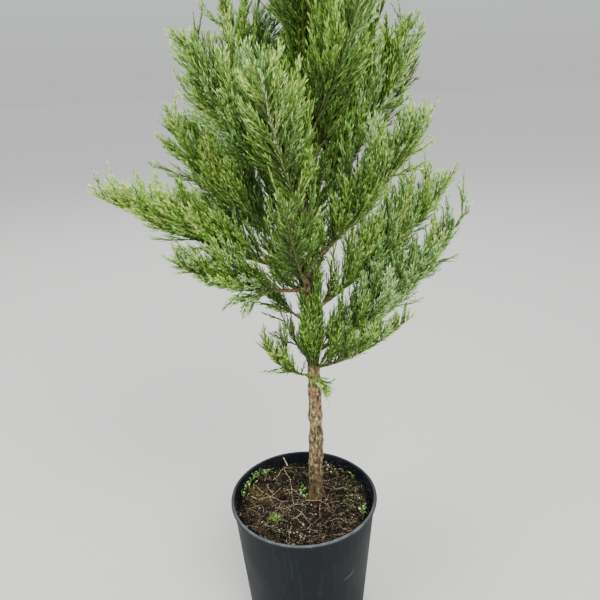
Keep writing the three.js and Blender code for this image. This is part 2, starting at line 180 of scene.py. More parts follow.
def repeated(groups, *faces):
    """The points of equal groups as one list, and the same faces again for each group."""
    count, size = groups.shape[:2]
    first = size * np.arange(count)[:, None, None]
    return groups.reshape(-1, 3), [(first + f).reshape(-1, f.shape[1]) for f in faces]


# %% [markdown]
# ## Finishes
# A colour is given as a hex value, which is sRGB, but the shader adds light in linear numbers, so one
# function turns the first into the second. Another adds a node with its settings and its links, and every
# finish below is built with it. The plain natural finishes, such as needles, bark and crumbs, are one
# colour that fine noise makes darker and lighter, so they share one recipe.


# %% Colours and nodes
def linear(colour):
    """A hex colour as linear red, green, blue and alpha."""
    parts = [int(colour[i : i + 2], 16) / 255 for i in (1, 3, 5)]
    curve = [p / 12.92 if p <= 0.04045 else ((p + 0.055) / 1.055) ** 2.4 for p in parts]
    return (*curve, 1.0)


def shaded(colour, share):
    """A hex colour made darker or lighter by a share."""
    parts = [min(255, int(int(colour[i : i + 2], 16) * share)) for i in (1, 3, 5)]
    return "#" + "".join(f"{part:02x}" for part in parts)


def add(tree, kind, inputs=None, links=None, stops=None, **settings):
    """Adds a shader node, sets it up, fills its inputs and its ramp's stops, and links it."""
    made = tree.nodes.new("ShaderNode" + kind)
    for key, value in settings.items():
        setattr(made, key, value)
    for key, value in (inputs or {}).items():
        made.inputs[key].default_value = value
    for key, source in (links or {}).items():
        tree.links.new(source, made.inputs[key])
    for i, (place, colour) in enumerate(stops or ()):
        ramp = made.color_ramp.elements
        stop = ramp[i] if i < len(ramp) else ramp.new(place)
        stop.position = place
        stop.color = linear(colour)
    return made


# A Mix node has several sockets of one name, so its factor, two colours and result go by number
MIX_FACTOR, MIX_A, MIX_B, MIX_COLOUR = 0, 6, 7, 2


def new_finish(name, sockets=None):
    """A finish with its nodes and its shader, whose plain sockets are filled in."""
    made = bpy.data.materials.new(name)
    made.use_nodes = True
    shader = made.node_tree.nodes["Principled BSDF"]
    for socket, value in (sockets or {}).items():
        shader.inputs[socket].default_value = value
    return made, made.node_tree, shader


def mottled(name, scale, detail, stops, sockets, bump=None):
    """A whole finish coloured by fine noise, with a bump of a strength and a depth where one is given."""
    made, tree, shader = new_finish(name, sockets)
    at = {"Vector": add(tree, "TexCoord").outputs["Object"]}
    speck = add(tree, "TexNoise", {"Scale": scale, "Detail": detail}, at)
    tone = add(tree, "ValToRGB", None, {"Fac": speck.outputs["Fac"]}, stops)
    tree.links.new(tone.outputs["Color"], shader.inputs["Base Color"])
    if bump:
        settings = dict(zip(("Strength", "Distance"), bump))
        grain = add(tree, "Bump", settings, {"Height": speck.outputs["Fac"]})
        tree.links.new(grain.outputs["Normal"], shader.inputs["Normal"])
    return made


# %% [markdown]
# ## Curves
# Every limb here is one arc with three control points: where it starts, the corner that it bends round,
# and its tip. With all the arcs in one array, their points and headings come from one formula each.
# Up-and-over directions square to an arc let side shoots be set left, right, over and under it.

# %% Arcs and directions
UP = np.array([0.0, 0.0, 1.0])


def unit(v):
    return v / np.maximum(np.linalg.norm(v, axis=-1, keepdims=True), 1e-9)


def points_on(arcs, t):
    """Points at shares t of each arc: arcs is (n, 3, 3) and t is (n, k)."""
    a, b, c = (arcs[:, None, i] for i in range(3))
    t = np.asarray(t, float)[..., None]
    return (1 - t) ** 2 * a + 2 * t * (1 - t) * b + t * t * c


def headings_on(arcs, t):
    a, b, c = (arcs[:, None, i] for i in range(3))
    t = np.asarray(t, float)[..., None]
    return unit((1 - t) * (b - a) + t * (c - b))


def square_to(heading, start):
    """Two directions square to a heading, which don't spin along the arc."""
    reference = np.where(np.abs(start[..., 2:3]) < 0.9, UP, np.array([1.0, 0.0, 0.0]))
    across = unit(np.cross(heading, reference))
    return across, unit(np.cross(across, heading))


def bent_arcs(roots, first, second, lengths):
    """Arcs that leave their roots along first and end along second."""
    half = first * lengths[:, None] / 2
    return np.stack([roots, roots + half, roots + half + second * lengths[:, None] / 2], 1)


def lean(heading, outward, degrees):
    turn = np.radians(degrees)[..., None]
    return heading * np.cos(turn) + outward * np.sin(turn)


# %% [markdown]
# ## The trunk's line and the boughs' arcs
# The model's source gives the trunk as a smooth line through six points with a slight bow, and each
# bough by where it leaves the trunk, its bearing, how far it reaches out and how much it rises. The same
# sizes are written here again, so what grows from them stays in the space that the model holds.

# %% The trunk's line
SOIL_HEIGHT = 158.0
TRUNK_FOOT = np.array([15.4, 18.7, 158.3])
TRUNK_TOP = np.array([12.0, 15.0, 842.0])
TRUNK_BOW = 2.5
TRUNK_TAPER = np.array(
    [[158, 8.9], [230, 8.4], [300, 7.7], [345, 6.4], [440, 5], [600, 3.5], [750, 2.2], [842, 1.5]]
)


def trunk_radius(height):
    return np.interp(height, TRUNK_TAPER[:, 0], TRUNK_TAPER[:, 1])


trunk_knots = []
for i, share in enumerate((0, 0.2, 0.4, 0.6, 0.8, 1)):
    bow = np.array([math.sin(share * 9.2), 0.8 * math.sin(share * 7.1 + i), 0]) * TRUNK_BOW
    trunk_knots.append(TRUNK_FOOT + (TRUNK_TOP - TRUNK_FOOT) * share + bow * (share > 0))
trunk_knots = np.array(trunk_knots)


def trunk_line(t):
    """A centripetal spline through the knots, as the model's source has it."""
    t = np.atleast_1d(np.asarray(t, float)) * (len(trunk_knots) - 1)
    i = np.minimum(t.astype(int), len(trunk_knots) - 2)
    u = (t - i)[:, None]
    ends = np.vstack([2 * trunk_knots[0] - trunk_knots[1], trunk_knots])
    ends = np.vstack([ends, 2 * trunk_knots[-1] - trunk_knots[-2]])
    p0, p1, p2, p3 = ends[i], ends[i + 1], ends[i + 2], ends[i + 3]
    spans = ((p0, p1), (p1, p2), (p2, p3))
    d0, d1, d2 = (np.linalg.norm(b - a, axis=1)[:, None] ** 0.5 for a, b in spans)
    m1 = ((p1 - p0) / d0 - (p2 - p0) / (d0 + d1) + (p2 - p1) / d1) * d1
    m2 = ((p2 - p1) / d1 - (p3 - p1) / (d1 + d2) + (p3 - p2) / d2) * d1
    c2 = -3 * p1 + 3 * p2 - 2 * m1 - m2
    c3 = 2 * p1 - 2 * p2 + m1 + m2
    return p1 + m1 * u + c2 * u * u + c3 * u**3


def trunk_at(height):
    share = (height - TRUNK_FOOT[2]) / (TRUNK_TOP[2] - TRUNK_FOOT[2])
    return trunk_line(np.clip(share, 0, 1))


print("the trunk's tip is at", trunk_line(1)[0].round(1), "mm")

# %% The boughs' sizes
# name: height of its foot, bearing, reach, rise, slope at its start, radius, shoots
BOUGHS = {
    "left_small": (329, 205, 58, 48, 5, 1.5, 4),
    "left_upright": (346, 145, 46, 60, 25, 1.4, 3),
    "front_drooping": (334, 293, 38, -22, 8, 1.3, 3),
    "right_low": (338, 346, 112, 74, 14, 2.1, 6),
    "right_long": (358, 0, 170, 166, 22, 2.7, 9),
    "back_left": (392, 140, 80, 34, 18, 1.7, 4),
    "right_second": (406, 22, 176, 130, 26, 2.5, 8),
    "left_low": (434, 200, 138, 50, 4, 2.2, 7),
    "left_long": (452, 184, 213, 98, 18, 2.9, 9),
    "right_middle": (462, 338, 121, 152, 38, 2.3, 7),
    "left_middle": (468, 160, 154, 140, 28, 2.4, 8),
    "right_upper": (506, 14, 113, 196, 44, 2.3, 7),
    "left_upper": (524, 206, 116, 168, 44, 2.3, 7),
    "right_top": (558, 345, 86, 172, 52, 2, 6),
    "left_top": (568, 158, 92, 180, 54, 2, 6),
}
FILLING = 11
for i in range(FILLING):
    share = i / (FILLING - 1)
    low_to_high = {"foot": (442, 808), "swing": (15, 75), "reach": (132, 44), "rise": (118, 70)}
    low_to_high.update(slope=(24, 60), radius=(2.4, 1.1), shoots=(8, 4))
    size = {key: a + (b - a) * share for key, (a, b) in low_to_high.items()}
    bearing = 270 + 180 * i + size["swing"] * math.sin(2.2 * i - 0.6)
    rise = size["rise"] + 56 * math.sin(math.pi * share)
    shoots = math.floor(size["shoots"] + 0.5)
    BOUGHS[f"crown_{i + 1:02d}"] = (
        size["foot"], bearing, size["reach"], rise, size["slope"], size["radius"], shoots
    )
sizes = np.array(list(BOUGHS.values()), float)
names = [*BOUGHS, "leader"]

feet = trunk_at(sizes[:, 0])
bearings = np.radians(sizes[:, 1])
out_ways = np.stack([np.cos(bearings), np.sin(bearings), 0 * bearings], 1)
halfway = sizes[:, 2:3] * 0.55
tips = feet + out_ways * sizes[:, 2:3] + UP * sizes[:, 3:4]
bends = feet + out_ways * halfway + UP * halfway * np.tan(np.radians(sizes[:, 4:5]))
LEADER_LENGTH = 66.0
leader = TRUNK_TOP + np.array([[0, 0, 0.3], [1, -1, LEADER_LENGTH / 2], [5, -2, LEADER_LENGTH]])
stems = np.concatenate([np.stack([feet, bends, tips], 1), leader[None]])
steps = points_on(stems, np.tile(np.linspace(0, 1, 201), (len(stems), 1)))
stem_lengths = np.linalg.norm(np.diff(steps, axis=1), axis=2).sum(1)
stem_lengths[-1] = LEADER_LENGTH
bare = np.minimum(0.35, 0.14 + 12 / stem_lengths)
bare[-1] = 0
stem_radii = np.append(sizes[:, 5], 1.5)
shoot_counts = np.append(sizes[:, 6], 6).astype(int)
print(len(stems), "stems,", int(stem_lengths.sum()), "mm in all")

# %% [markdown]
# ## Each bough's habit
# No two boughs hold their shoots alike. The long ones on the left keep them low and close, the right one
# carries a tall upright fan, and the small low one stands its shoots straight up. Six numbers say so: how
# far a shoot turns up, how fast the shoots shorten towards the bough's tip, their size against the rule's,
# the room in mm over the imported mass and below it, and how far round the bough they go, in degrees. A
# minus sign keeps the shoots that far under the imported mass's top.

# %% Habits
HABITS = {
    "left_small": (0.9, 0.4, 0.9, 34, 8, 125),
    "left_upright": (0.9, 0.5, 0.5, 4, 3, 100),
    "front_drooping": (0.1, 1.0, 1.0, 0, 3, 112),
    "right_low": (0.9, 1.1, 1.0, 4, 0, 48),
    "right_long": (0.9, 1.3, 1.25, -16, 6, 112),
    "right_second": (0.8, 1.0, 1.2, -12, 3, 112),
    "right_middle": (0.9, 0.8, 1.3, -6, 3, 112),
    "right_upper": (0.5, 0.6, 1.6, -22, 3, 112),
    "right_top": (1.0, 1.2, 0.9, 4, 3, 112),
    "left_top": (1.0, 1.2, 1.0, 18, 3, 112),
    "left_upper": (0.7, 0.7, 1.3, -18, 3, 140),
    "left_low": (0.1, 0.8, 1.2, 4, 30, 112),
    "left_long": (0.25, 1.2, 1.35, -12, 8, 85),
    "left_middle": (0.5, 0.9, 1.3, 6, 3, 112),
    "crown_01": (0.8, 0.9, 0.6, -20, 3, 112),
    "back_left": (0.1, 0.3, 0.9, 10, 12, 112),
}
USUAL_HABIT = (0.75, 0.7, 1.2, 18, 3, 112)
HABIT = np.array([HABITS.get(name, USUAL_HABIT) for name in names])

# %% [markdown]
# ## Each mass keeps to its own space
# On the tree, twigs that would rub are shaded out, so each bough's foliage ends where the next one's
# begins. The source's rule says the same with distances: a point belongs to the mass whose middle line,
# lifted a little because shoots grow up from it, is nearest. A twig has to fit there and clear the limbs.

# %% Spaces and the test of fit
SPACE_LIFT = 26.0
stem_shares = bare[:, None] + (1 - bare[:, None]) * np.arange(11) / 10
stem_ways = headings_on(stems, stem_shares)
level = np.hypot(stem_ways[..., 0], stem_ways[..., 1])
lift = SPACE_LIFT * level * np.minimum(1, 2 * (1 - stem_shares) + 0.2)
spaces = points_on(stems, stem_shares) + UP * lift[..., None]

trunk_points = trunk_line(np.linspace(0, 1, 41))
bough_points = points_on(stems[:-1], bare[:-1, None] * np.arange(5) / 4)
limb_starts = np.concatenate([trunk_points[:-1], bough_points[:, :-1].reshape(-1, 3)])
limb_ends = np.concatenate([trunk_points[1:], bough_points[:, 1:].reshape(-1, 3)])
limb_radii = np.concatenate([np.full(40, -1.0), np.repeat(stem_radii[:-1], 4)])


def distances(points, starts, ends):
    """How far each point is from each straight piece, as (points, pieces)."""
    along = ends - starts
    share = ((points[:, None] - starts) * along).sum(2) / (along * along).sum(1)
    nearest = starts + np.clip(share, 0, 1)[..., None] * along
    return np.linalg.norm(points[:, None] - nearest, axis=2)


# How far in mm twigs may pass a mass's box to the sides, and the whole tree's box
SIDEWAYS, WHOLE = 14.0, 4.0
# The last box is for short shoots that stand on the trunk and the boughs' feet, inside the crown
INSIDE_BOX = [[-55, -55, 322], [85, 85, 872]]
MASS_NAMES = [*names, "inside"]
INSIDE = MASS_NAMES.index("inside")
mass_boxes = np.array([[list(corner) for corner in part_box("foliage_" + name)] for name in names]) / MM
mass_boxes += np.array([-SIDEWAYS, SIDEWAYS])[:, None]
mass_boxes[:, 0, 2] += SIDEWAYS - HABIT[:, 4]
mass_boxes[:, 1, 2] += HABIT[:, 3] - SIDEWAYS
mass_boxes = np.concatenate([mass_boxes, [INSIDE_BOX]])
whole = np.array([list(corner) for corner in cad_box]) / MM
mass_boxes[:, 0] = np.maximum(mass_boxes[:, 0], whole[0] - WHOLE)
mass_boxes[:, 1] = np.minimum(mass_boxes[:, 1], whole[1] + WHOLE)
AT_ONCE = 1500


def fits(arcs, mass, shares, reach, crossing=None):
    """True for each arc that stays in its mass's space and clear of the trunk and boughs.

    A fine twig may cross into the next space by some mm, but it keeps to its own mass's box.
    """
    kept = np.ones(len(arcs), bool)
    masses = len(spaces)
    for first in range(0, len(arcs), AT_ONCE):
        part = slice(first, first + AT_ONCE)
        t = np.tile(shares, (len(arcs[part]), 1))
        points = points_on(arcs[part], t).reshape(-1, 3)
        owner = np.repeat(mass[part], len(shares))
        far = distances(points, spaces[:, :-1].reshape(-1, 3), spaces[:, 1:].reshape(-1, 3))
        far = far.reshape(len(points), masses, -1).min(2)
        rows, column = np.arange(len(points)), np.minimum(owner, masses - 1)
        own = np.where(owner == INSIDE, 0, far[rows, column])
        far[rows, column] = np.inf
        good = far.min(1) - own > (2 * reach + 0.4 if crossing is None else -crossing)
        if crossing is not None:
            good &= ((points > mass_boxes[owner, 0]) & (points < mass_boxes[owner, 1])).all(1)
        limb = distances(points, limb_starts, limb_ends)
        radius = np.where(limb_radii < 0, trunk_radius(points[:, 2:3]) + 0.6, limb_radii)
        good &= (limb > radius + reach + 0.3).all(1)
        kept[part] = good.reshape(-1, len(shares)).all(1)
    return kept


# %% [markdown]
# ## The shoots and cords of the source
# These loops draw the same seeded numbers as the model's source, in the same order, so each shoot comes
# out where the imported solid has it. They are few, so plain loops are clear enough.

# %% The same seeded numbers as the model's source
SHOOT_SPREAD = 42.0
SHOOT_ROLL = (18.0, 74.0)
SHOOT_SHARE = 0.52
SHOOT_LONGEST = 104.0
SHORTER = (1, 0.72, 0.5)
SHORTEST = 13.0
SOLID_REACH = 8.5 * 0.62


def seeded(seed):
    state = (seed * 7919 + 104729) % 2147483647

    def draw():
        nonlocal state
        state = state * 48271 % 2147483647
        return state / 2147483647

    return draw


def child(parent, t, outward, spread, toward, amount, length):
    """One arc that leaves a parent arc at t, and bends by amount towards another way."""
    heading = headings_on(parent[None], [[t]])[0, 0]
    first = lean(heading, outward, np.array(spread))
    second = unit(first + (toward - first) * amount)
    root = points_on(parent[None], [[t]])[0]
    return bent_arcs(root, first[None], second[None], np.array([length]))[0]


shoots, cords = [], []
for m, stem in enumerate(stems):
    draw = seeded(m + 1)
    start = headings_on(stem[None], [[0]])[0, 0]
    mine = []
    for k in range(shoot_counts[m]):
        share = (k + 0.35 + 0.5 * draw()) / shoot_counts[m]
        t = bare[m] + (0.96 - bare[m]) * share
        roll = math.radians(SHOOT_ROLL[0] + (SHOOT_ROLL[1] - SHOOT_ROLL[0]) * draw())
        roll *= 1 if k % 2 else -1
        spread = SHOOT_SPREAD * (0.8 + 0.4 * draw())
        wanted = min(SHOOT_LONGEST, SHOOT_SHARE * stem_lengths[m]) * (0.8 + 0.35 * draw())
        wanted *= math.sqrt(max(0, 1 - share * 0.86)) * (0.7 + 0.3 * min(1, share * 4))
        across, over = square_to(headings_on(stem[None], [[t]])[0, 0], start)
        outward = over * math.cos(roll) + across * math.sin(roll)
        for shorter in SHORTER:
            length = wanted * shorter
            if length < SHORTEST:
                break
            arc = child(stem, t, outward, spread, UP, 0.5, length)
            if fits(arc[None], np.array([m]), [0.3, 0.5, 0.75, 1], SOLID_REACH)[0]:
                mine.append((arc, m, length, k))
                break
    shoots += mine
    draw = seeded(m + 501)
    for number, (arc, _, length, k) in enumerate(mine, len(shoots) - len(mine)):
        side = 1 if draw() < 0.5 else -1
        tilt = draw() - 0.5
        cord_length = 0.42 * length * (0.85 + 0.3 * draw())
        if k % 2 or cord_length < SHORTEST:
            continue
        heading = headings_on(arc[None], [[0.4]])[0, 0]
        across, over = square_to(heading, headings_on(arc[None], [[0]])[0, 0])
        made = child(arc, 0.4, unit(across * side + over * tilt), 34, heading, 0.5, cord_length)
        if fits(made[None], np.array([m]), [0.5, 1], SOLID_REACH)[0]:
            cords.append((made, m, cord_length, number))

shoot_arcs = np.array([s[0] for s in shoots])
shoot_mass = np.array([s[1] for s in shoots])
shoot_lengths = np.array([s[2] for s in shoots])
cord_arcs = np.array([c[0] for c in cords])
cord_mass = np.array([c[1] for c in cords])
cord_lengths = np.array([c[2] for c in cords])
cord_parent = np.array([c[3] for c in cords])
print(len(shoots), "shoots and", len(cords), "cords, as in the model's solids")

# %% [markdown]
# ## Finer twigs by the same rule
# The solids could only hold the main shoots. The real crown is far finer, so the rule is carried on:
# more shoots on the stems, cords on the shoots, and sprigs all along both. Each try that doesn't fit is
# made shorter and tried again, as in the source, and is skipped in the end. All the tries of one kind
# are arrays, so thousands take about a second.

# %% Growing a kind of twig from its parents
rng = np.random.default_rng(29)
CROSSING = 26.0
ALL_ROUND = 6.28


def grow(parents, mass, shares, where, t, outward, spread, toward, amount, lengths, reach, shortest):
    """Arcs on parents[where] at shares t: those that fit, their lengths and which try each was."""
    heading = headings_on(parents[where], t[:, None])[:, 0]
    first = lean(heading, outward, spread)
    second = unit(first + (toward - first) * np.reshape(amount, (-1, 1)))
    roots = points_on(parents[where], t[:, None])[:, 0]
    open_tries = np.arange(len(where))
    arcs, found, sizes_kept = [], [], []
    for shorter in SHORTER:
        open_tries = open_tries[lengths[open_tries] * shorter >= shortest]
        if not len(open_tries):
            break
        i = open_tries
        tried = bent_arcs(roots[i], first[i], second[i], lengths[i] * shorter)
        good = fits(tried, mass[where[i]], shares, reach, CROSSING)
        arcs.append(tried[good])
        found.append(i[good])
        sizes_kept.append(lengths[i[good]] * shorter)
        open_tries = i[~good]
    return np.concatenate(arcs), np.concatenate(sizes_kept), np.concatenate(found)


def frames_at(parents, where, t):
    """The heading and the two square directions at share t of each parent."""
    heading = headings_on(parents[where], t[:, None])[:, 0]
    start = headings_on(parents[where], 0 * t[:, None])[:, 0]
    return heading, *square_to(heading, start)


def spray_frames(parents, where, t):
    """The heading, and the two square directions of a spray that lies with its flat side outwards."""
    heading = headings_on(parents[where], t[:, None])[:, 0]
    place = points_on(parents[where], t[:, None])[:, 0]
    tangent = np.cross(UP, place - trunk_at(place[:, 2])) + 0.01
    across = unit(tangent - heading * (tangent * heading).sum(1)[:, None])
    return heading, across, np.cross(across, heading)


def around(across, over, roll):
    return over * np.cos(roll)[:, None] + across * np.sin(roll)[:, None]


def in_turn(counts):
    """For counts of things on each parent: whose each thing is, and its number there."""
    return np.repeat(np.arange(len(counts)), counts), np.concatenate([np.arange(n) for n in counts])


def with_new(*pairs):
    """Each array with its new rows after it."""
    return [np.concatenate(pair) for pair in pairs]


# %% More shoots on the stems
FINE_REACH = 1.6
per_stem = shoot_counts * 12
where, order = in_turn(per_stem)
share = (order + rng.random(len(where))) / per_stem[where]
t = bare[where] + (0.97 - bare[where]) * share
_, across, over = frames_at(stems, where, t)
rising, shortening, size, _, _, widest = HABIT[where].T
roll = np.radians(widest * rng.random(len(where))) * np.where(order % 2, 1, -1)
spread = SHOOT_SPREAD * rng.uniform(0.55, 1.1, len(where))
wanted = np.minimum(SHOOT_LONGEST, SHOOT_SHARE * stem_lengths[where])
wanted = wanted * rng.uniform(0.45, 1.0, len(where))
wanted *= size * (1 - share * 0.84) ** shortening * (0.7 + 0.3 * np.minimum(1, share * 4))
rising = rising * (1.3 - 0.9 * share)
more, more_lengths, tries = grow(
    stems, np.arange(len(stems)), [0.3, 0.6, 1], where, t, around(across, over, roll), spread, UP,
    amount=rising, lengths=wanted, reach=FINE_REACH, shortest=12,
)
shoot_arcs, shoot_lengths, shoot_mass = with_new(
    (shoot_arcs, more), (shoot_lengths, more_lengths), (shoot_mass, where[tries])
)
print(len(more), "finer shoots, of", len(where), "tries")

# %% Short shoots on the trunk and the boughs' feet
# Inside the crown they stand out from the trunk and the feet of the boughs
steps = np.linspace(424, 836, 17)
trunk_arcs = [trunk_at(z) for z in (steps[:-1], (steps[:-1] + steps[1:]) / 2, steps[1:])]
trunk_arcs = np.stack(trunk_arcs, 1)
LEAFY_FEET = ["right_low", "right_long", "right_second"]
feet_arcs = stems[:-1][(sizes[:, 0] > 430) | np.isin(names[:-1], LEAFY_FEET)]
# where the lowest boughs leave, they start on the bark, on the front and the right, and rise close to it:
# each one's bearing, and the heights that its foot may lie between
HUGGING = [
    (226, 344, 385), (240, 342, 395), (254, 338, 376), (272, 338, 362), (290, 340, 392), (306, 340, 405),
    (322, 342, 405), (340, 346, 400), (50, 376, 430), (90, 380, 430), (130, 384, 430),
]
bark_arcs = []
for bearing, low, high in HUGGING:
    out = np.array([math.cos(math.radians(bearing)), math.sin(math.radians(bearing)), 0])
    rising_line = (low, (low + high) / 2, high)
    bark_arcs.append([trunk_at(z)[0] + out * (trunk_radius(z) + 0.4) for z in rising_line])
inner_parents = np.concatenate([trunk_arcs, feet_arcs, bark_arcs])
kind = np.repeat([0, 1, 2], [len(trunk_arcs), len(feet_arcs), len(bark_arcs)])
where, _ = in_turn(np.array([13, 13, 7])[kind])
on_foot, on_bark, tries_in_all = kind[where] == 1, kind[where] == 2, len(where)
near_trunk, near_start = rng.uniform(0.02, 0.24, tries_in_all), rng.random(tries_in_all) ** 1.5
t = np.select([on_foot, on_bark], [near_trunk, near_start], rng.random(tries_in_all))
_, across, over = frames_at(inner_parents, where, t)
outward = around(across, over, rng.uniform(0, ALL_ROUND, tries_in_all) * np.where(on_foot, 0.2, 1))
for number, (bearing, _, _) in enumerate(HUGGING):
    turn = np.radians(bearing + rng.uniform(-15, 15, tries_in_all))
    mine = where == len(trunk_arcs) + len(feet_arcs) + number
    outward = np.where(mine[:, None], np.column_stack([np.cos(turn), np.sin(turn), 0 * turn]), outward)
spread = np.where(on_bark, rng.uniform(8, 18, tries_in_all), rng.uniform(30, 55, tries_in_all))
wanted = np.where(on_bark, rng.uniform(30, 60, tries_in_all), rng.uniform(24, 64, tries_in_all))
more, more_lengths, tries = grow(
    inner_parents, np.full(len(inner_parents), INSIDE), [0.5, 1], where, t, outward, spread, UP,
    amount=0.6, lengths=wanted, reach=0.8, shortest=14,
)
shoot_arcs, shoot_lengths, shoot_mass = with_new(
    (shoot_arcs, more), (shoot_lengths, more_lengths), (shoot_mass, np.full(len(more), INSIDE))
)
print(len(more), "short inner shoots, of", len(where), "tries")

# %% Shoots that stand out in the picture
# the bough each is on, its place there, its mass, how it sets out and ends, and its length
NOTABLE = [
    ("left_small", 0.50, "inside", (-0.2, -0.2, 1), (-0.05, 0, 1), 60),
    ("left_small", 0.58, "inside", (0.1, 0.1, 1), (-0.1, 0.1, 1), 50),
    ("left_small", 0.66, "left_small", (-0.5, -0.2, 1), (-0.3, 0, 1), 30),
    ("left_small", 0.40, "left_small", (-0.4, -0.6, 0.8), (-0.4, -0.2, 0.6), 18),
    ("left_small", 0.50, "left_small", (-0.2, -0.8, 0.3), (-0.6, -0.3, 0.3), 18),
    ("left_small", 0.30, "front_drooping", (0.9, -0.75, 0.25), (0.5, -0.3, -1), 52),
    ("left_small", 0.26, "inside", (0.2, -0.6, 0.8), (0.3, -0.1, 0.9), 22),
    ("left_upright", 0.40, "inside", (-0.9, -0.3, 0.5), (-0.8, -0.2, 0.7), 40),
    ("left_low", 0.36, "left_low", (-0.4, -0.1, -0.8), (-0.6, 0, -0.8), 34),
    ("left_low", 0.42, "left_low", (-0.3, 0.3, -0.8), (-0.4, 0.2, -0.9), 38),
    ("left_low", 0.48, "left_low", (-0.5, 0.1, -0.6), (-0.7, 0.1, -0.6), 36),
    ("right_low", 0.30, "inside", (0.5, -0.2, 0.9), (0.5, -0.1, 0.9), 46),
    ("right_low", 0.22, "inside", (0.3, -0.4, 0.9), (0.4, -0.1, 1), 50),
    ("left_middle", 0.62, "left_middle", (-1, 0, 0.3), (-0.9, 0, 0.45), 74),
    ("right_low", 0.12, "inside", (0.4, -0.2, 1), (0.25, 0, 1), 58),
    ("right_low", 0.17, "inside", (0.2, 0.1, 1), (0.1, 0, 1), 64),
    ("right_low", 0.27, "inside", (0.2, -0.2, 1), (0.1, 0, 1), 62),
    ("right_long", 0.12, "inside", (0.3, -0.2, 1), (0.1, 0, 1), 54),
    ("right_second", 0.75, "right_second", (-0.2, 0, 1), (-0.15, 0, 1), 74),
    ("right_second", 0.66, "right_second", (-0.1, -0.2, 1), (-0.05, 0, 1), 72),
    ("right_long", 0.8, "right_long", (0.7, -0.3, 0.5), (0.45, 0, 1), 30),
    ("right_long", 0.72, "right_long", (1, -0.4, 0), (0.8, -0.1, 0.6), 34),
    ("right_long", 0.2, "inside", (-0.1, -0.3, 1), (0, 0, 1), 62),
    ("right_second", 0.18, "inside", (-0.1, -0.3, 1), (-0.05, 0, 1), 62),
    ("right_middle", 0.12, "inside", (0.3, -0.5, 0.8), (0.2, -0.1, 1), 42),
    ("right_middle", 0.8, "right_middle", (1, -0.2, 0.3), (0.8, 0, 0.7), 36),
    ("right_middle", 0.7, "right_middle", (1, 0, 0.1), (0.8, 0, 0.5), 34),
    ("left_upright", 0.8, "left_upright", (-0.9, -0.2, 0.4), (-0.9, 0, 0.5), 26),
    ("left_small", 0.75, "left_small", (-0.5, -0.4, 0.9), (-0.3, -0.1, 1), 40),
    ("left_small", 0.52, "left_small", (-0.3, -0.8, 0.5), (-0.2, -0.4, 0.8), 27),
    ("left_small", 0.92, "left_small", (-0.2, -0.2, 1), (0, 0, 1), 34),
    ("left_small", 0.45, "left_small", (-0.5, -0.7, 0.2), (-0.7, -0.3, 0.3), 26),
    ("left_small", 0.60, "left_small", (0.1, -0.7, 0.6), (-0.1, -0.3, 0.9), 25),
    ("left_small", 0.68, "left_small", (-0.4, -0.6, 0.5), (-0.4, -0.2, 0.8), 27),
    ("left_small", 0.6, "left_small", (-0.8, -0.5, -0.1), (-0.9, -0.2, 0.1), 26),
    ("right_long", 0.7, "right_long", (0.7, 0.2, 0.4), (0.5, 0, 1), 46),
    ("right_long", 0.6, "right_long", (1, -0.2, 0.4), (0.8, 0, 1), 44),
    ("left_long", 0.52, "left_long", (-1, -0.1, -0.1), (-0.8, 0, 0.2), 42),
    ("left_long", 0.42, "left_long", (-1, 0.1, -0.2), (-0.8, 0, 0.1), 42),
    ("left_top", 0.5, "left_top", (0.5, -0.2, 1), (0.1, 0, 1), 66),
    ("left_top", 0.6, "left_top", (0.5, 0.1, 1), (0.1, 0, 1), 66),
    ("left_top", 0.7, "left_top", (0.5, -0.2, 1), (0.1, 0, 1), 60),
    ("left_top", 0.45, "left_top", (1, -0.2, 0.7), (0.35, 0, 1), 76),
    ("left_top", 0.6, "left_top", (1, 0.1, 0.6), (0.3, 0, 1), 70),
    ("left_top", 0.75, "left_top", (-1, -0.1, 0.4), (-0.3, 0, 1), 46),
    ("left_top", 0.50, "left_top", (1, -0.5, 0.9), (0.5, -0.1, 1), 74),
    ("left_top", 0.68, "left_top", (1, -0.2, 0.5), (0.5, 0, 0.9), 62),
    ("left_upper", 0.5, "left_upper", (-1, 0, 0.5), (-0.4, 0, 1), 60),
    ("left_upper", 0.6, "left_upper", (-1, -0.3, 0.5), (-0.4, 0, 1), 60),
    ("left_upper", 0.7, "left_upper", (-1, 0.2, 0.6), (-0.35, 0, 1), 42),
    ("left_upper", 0.8, "left_upper", (-1, 0, 0.7), (-0.3, 0, 1), 32),
    ("right_upper", 0.52, "right_upper", (1, -0.3, 0.55), (0.45, 0, 1), 68),
    ("right_upper", 0.60, "right_upper", (1, 0.2, 0.55), (0.45, 0, 1), 66),
    ("right_upper", 0.67, "right_upper", (1, -0.1, 0.55), (0.45, 0, 1), 62),
    ("right_upper", 0.74, "right_upper", (1, 0.3, 0.6), (0.4, 0, 1), 58),
]
limbs, notable_shares, notable_masses, *ways, notable_lengths = zip(*NOTABLE)
roots = points_on(stems[[names.index(limb) for limb in limbs]], np.array(notable_shares)[:, None])[:, 0]
first, second = (unit(np.array(way, float)) for way in ways)
notable_lengths = np.array(notable_lengths, float)
shoot_arcs, shoot_lengths, shoot_mass = with_new(
    (shoot_arcs, bent_arcs(roots, first, second, notable_lengths)), (shoot_lengths, notable_lengths),
    (shoot_mass, [MASS_NAMES.index(mass) for mass in notable_masses]),
)
print(len(shoot_arcs), "shoots in all")

# %% More cords on the shoots
HANGING = [names.index("front_drooping"), names.index("left_low")]
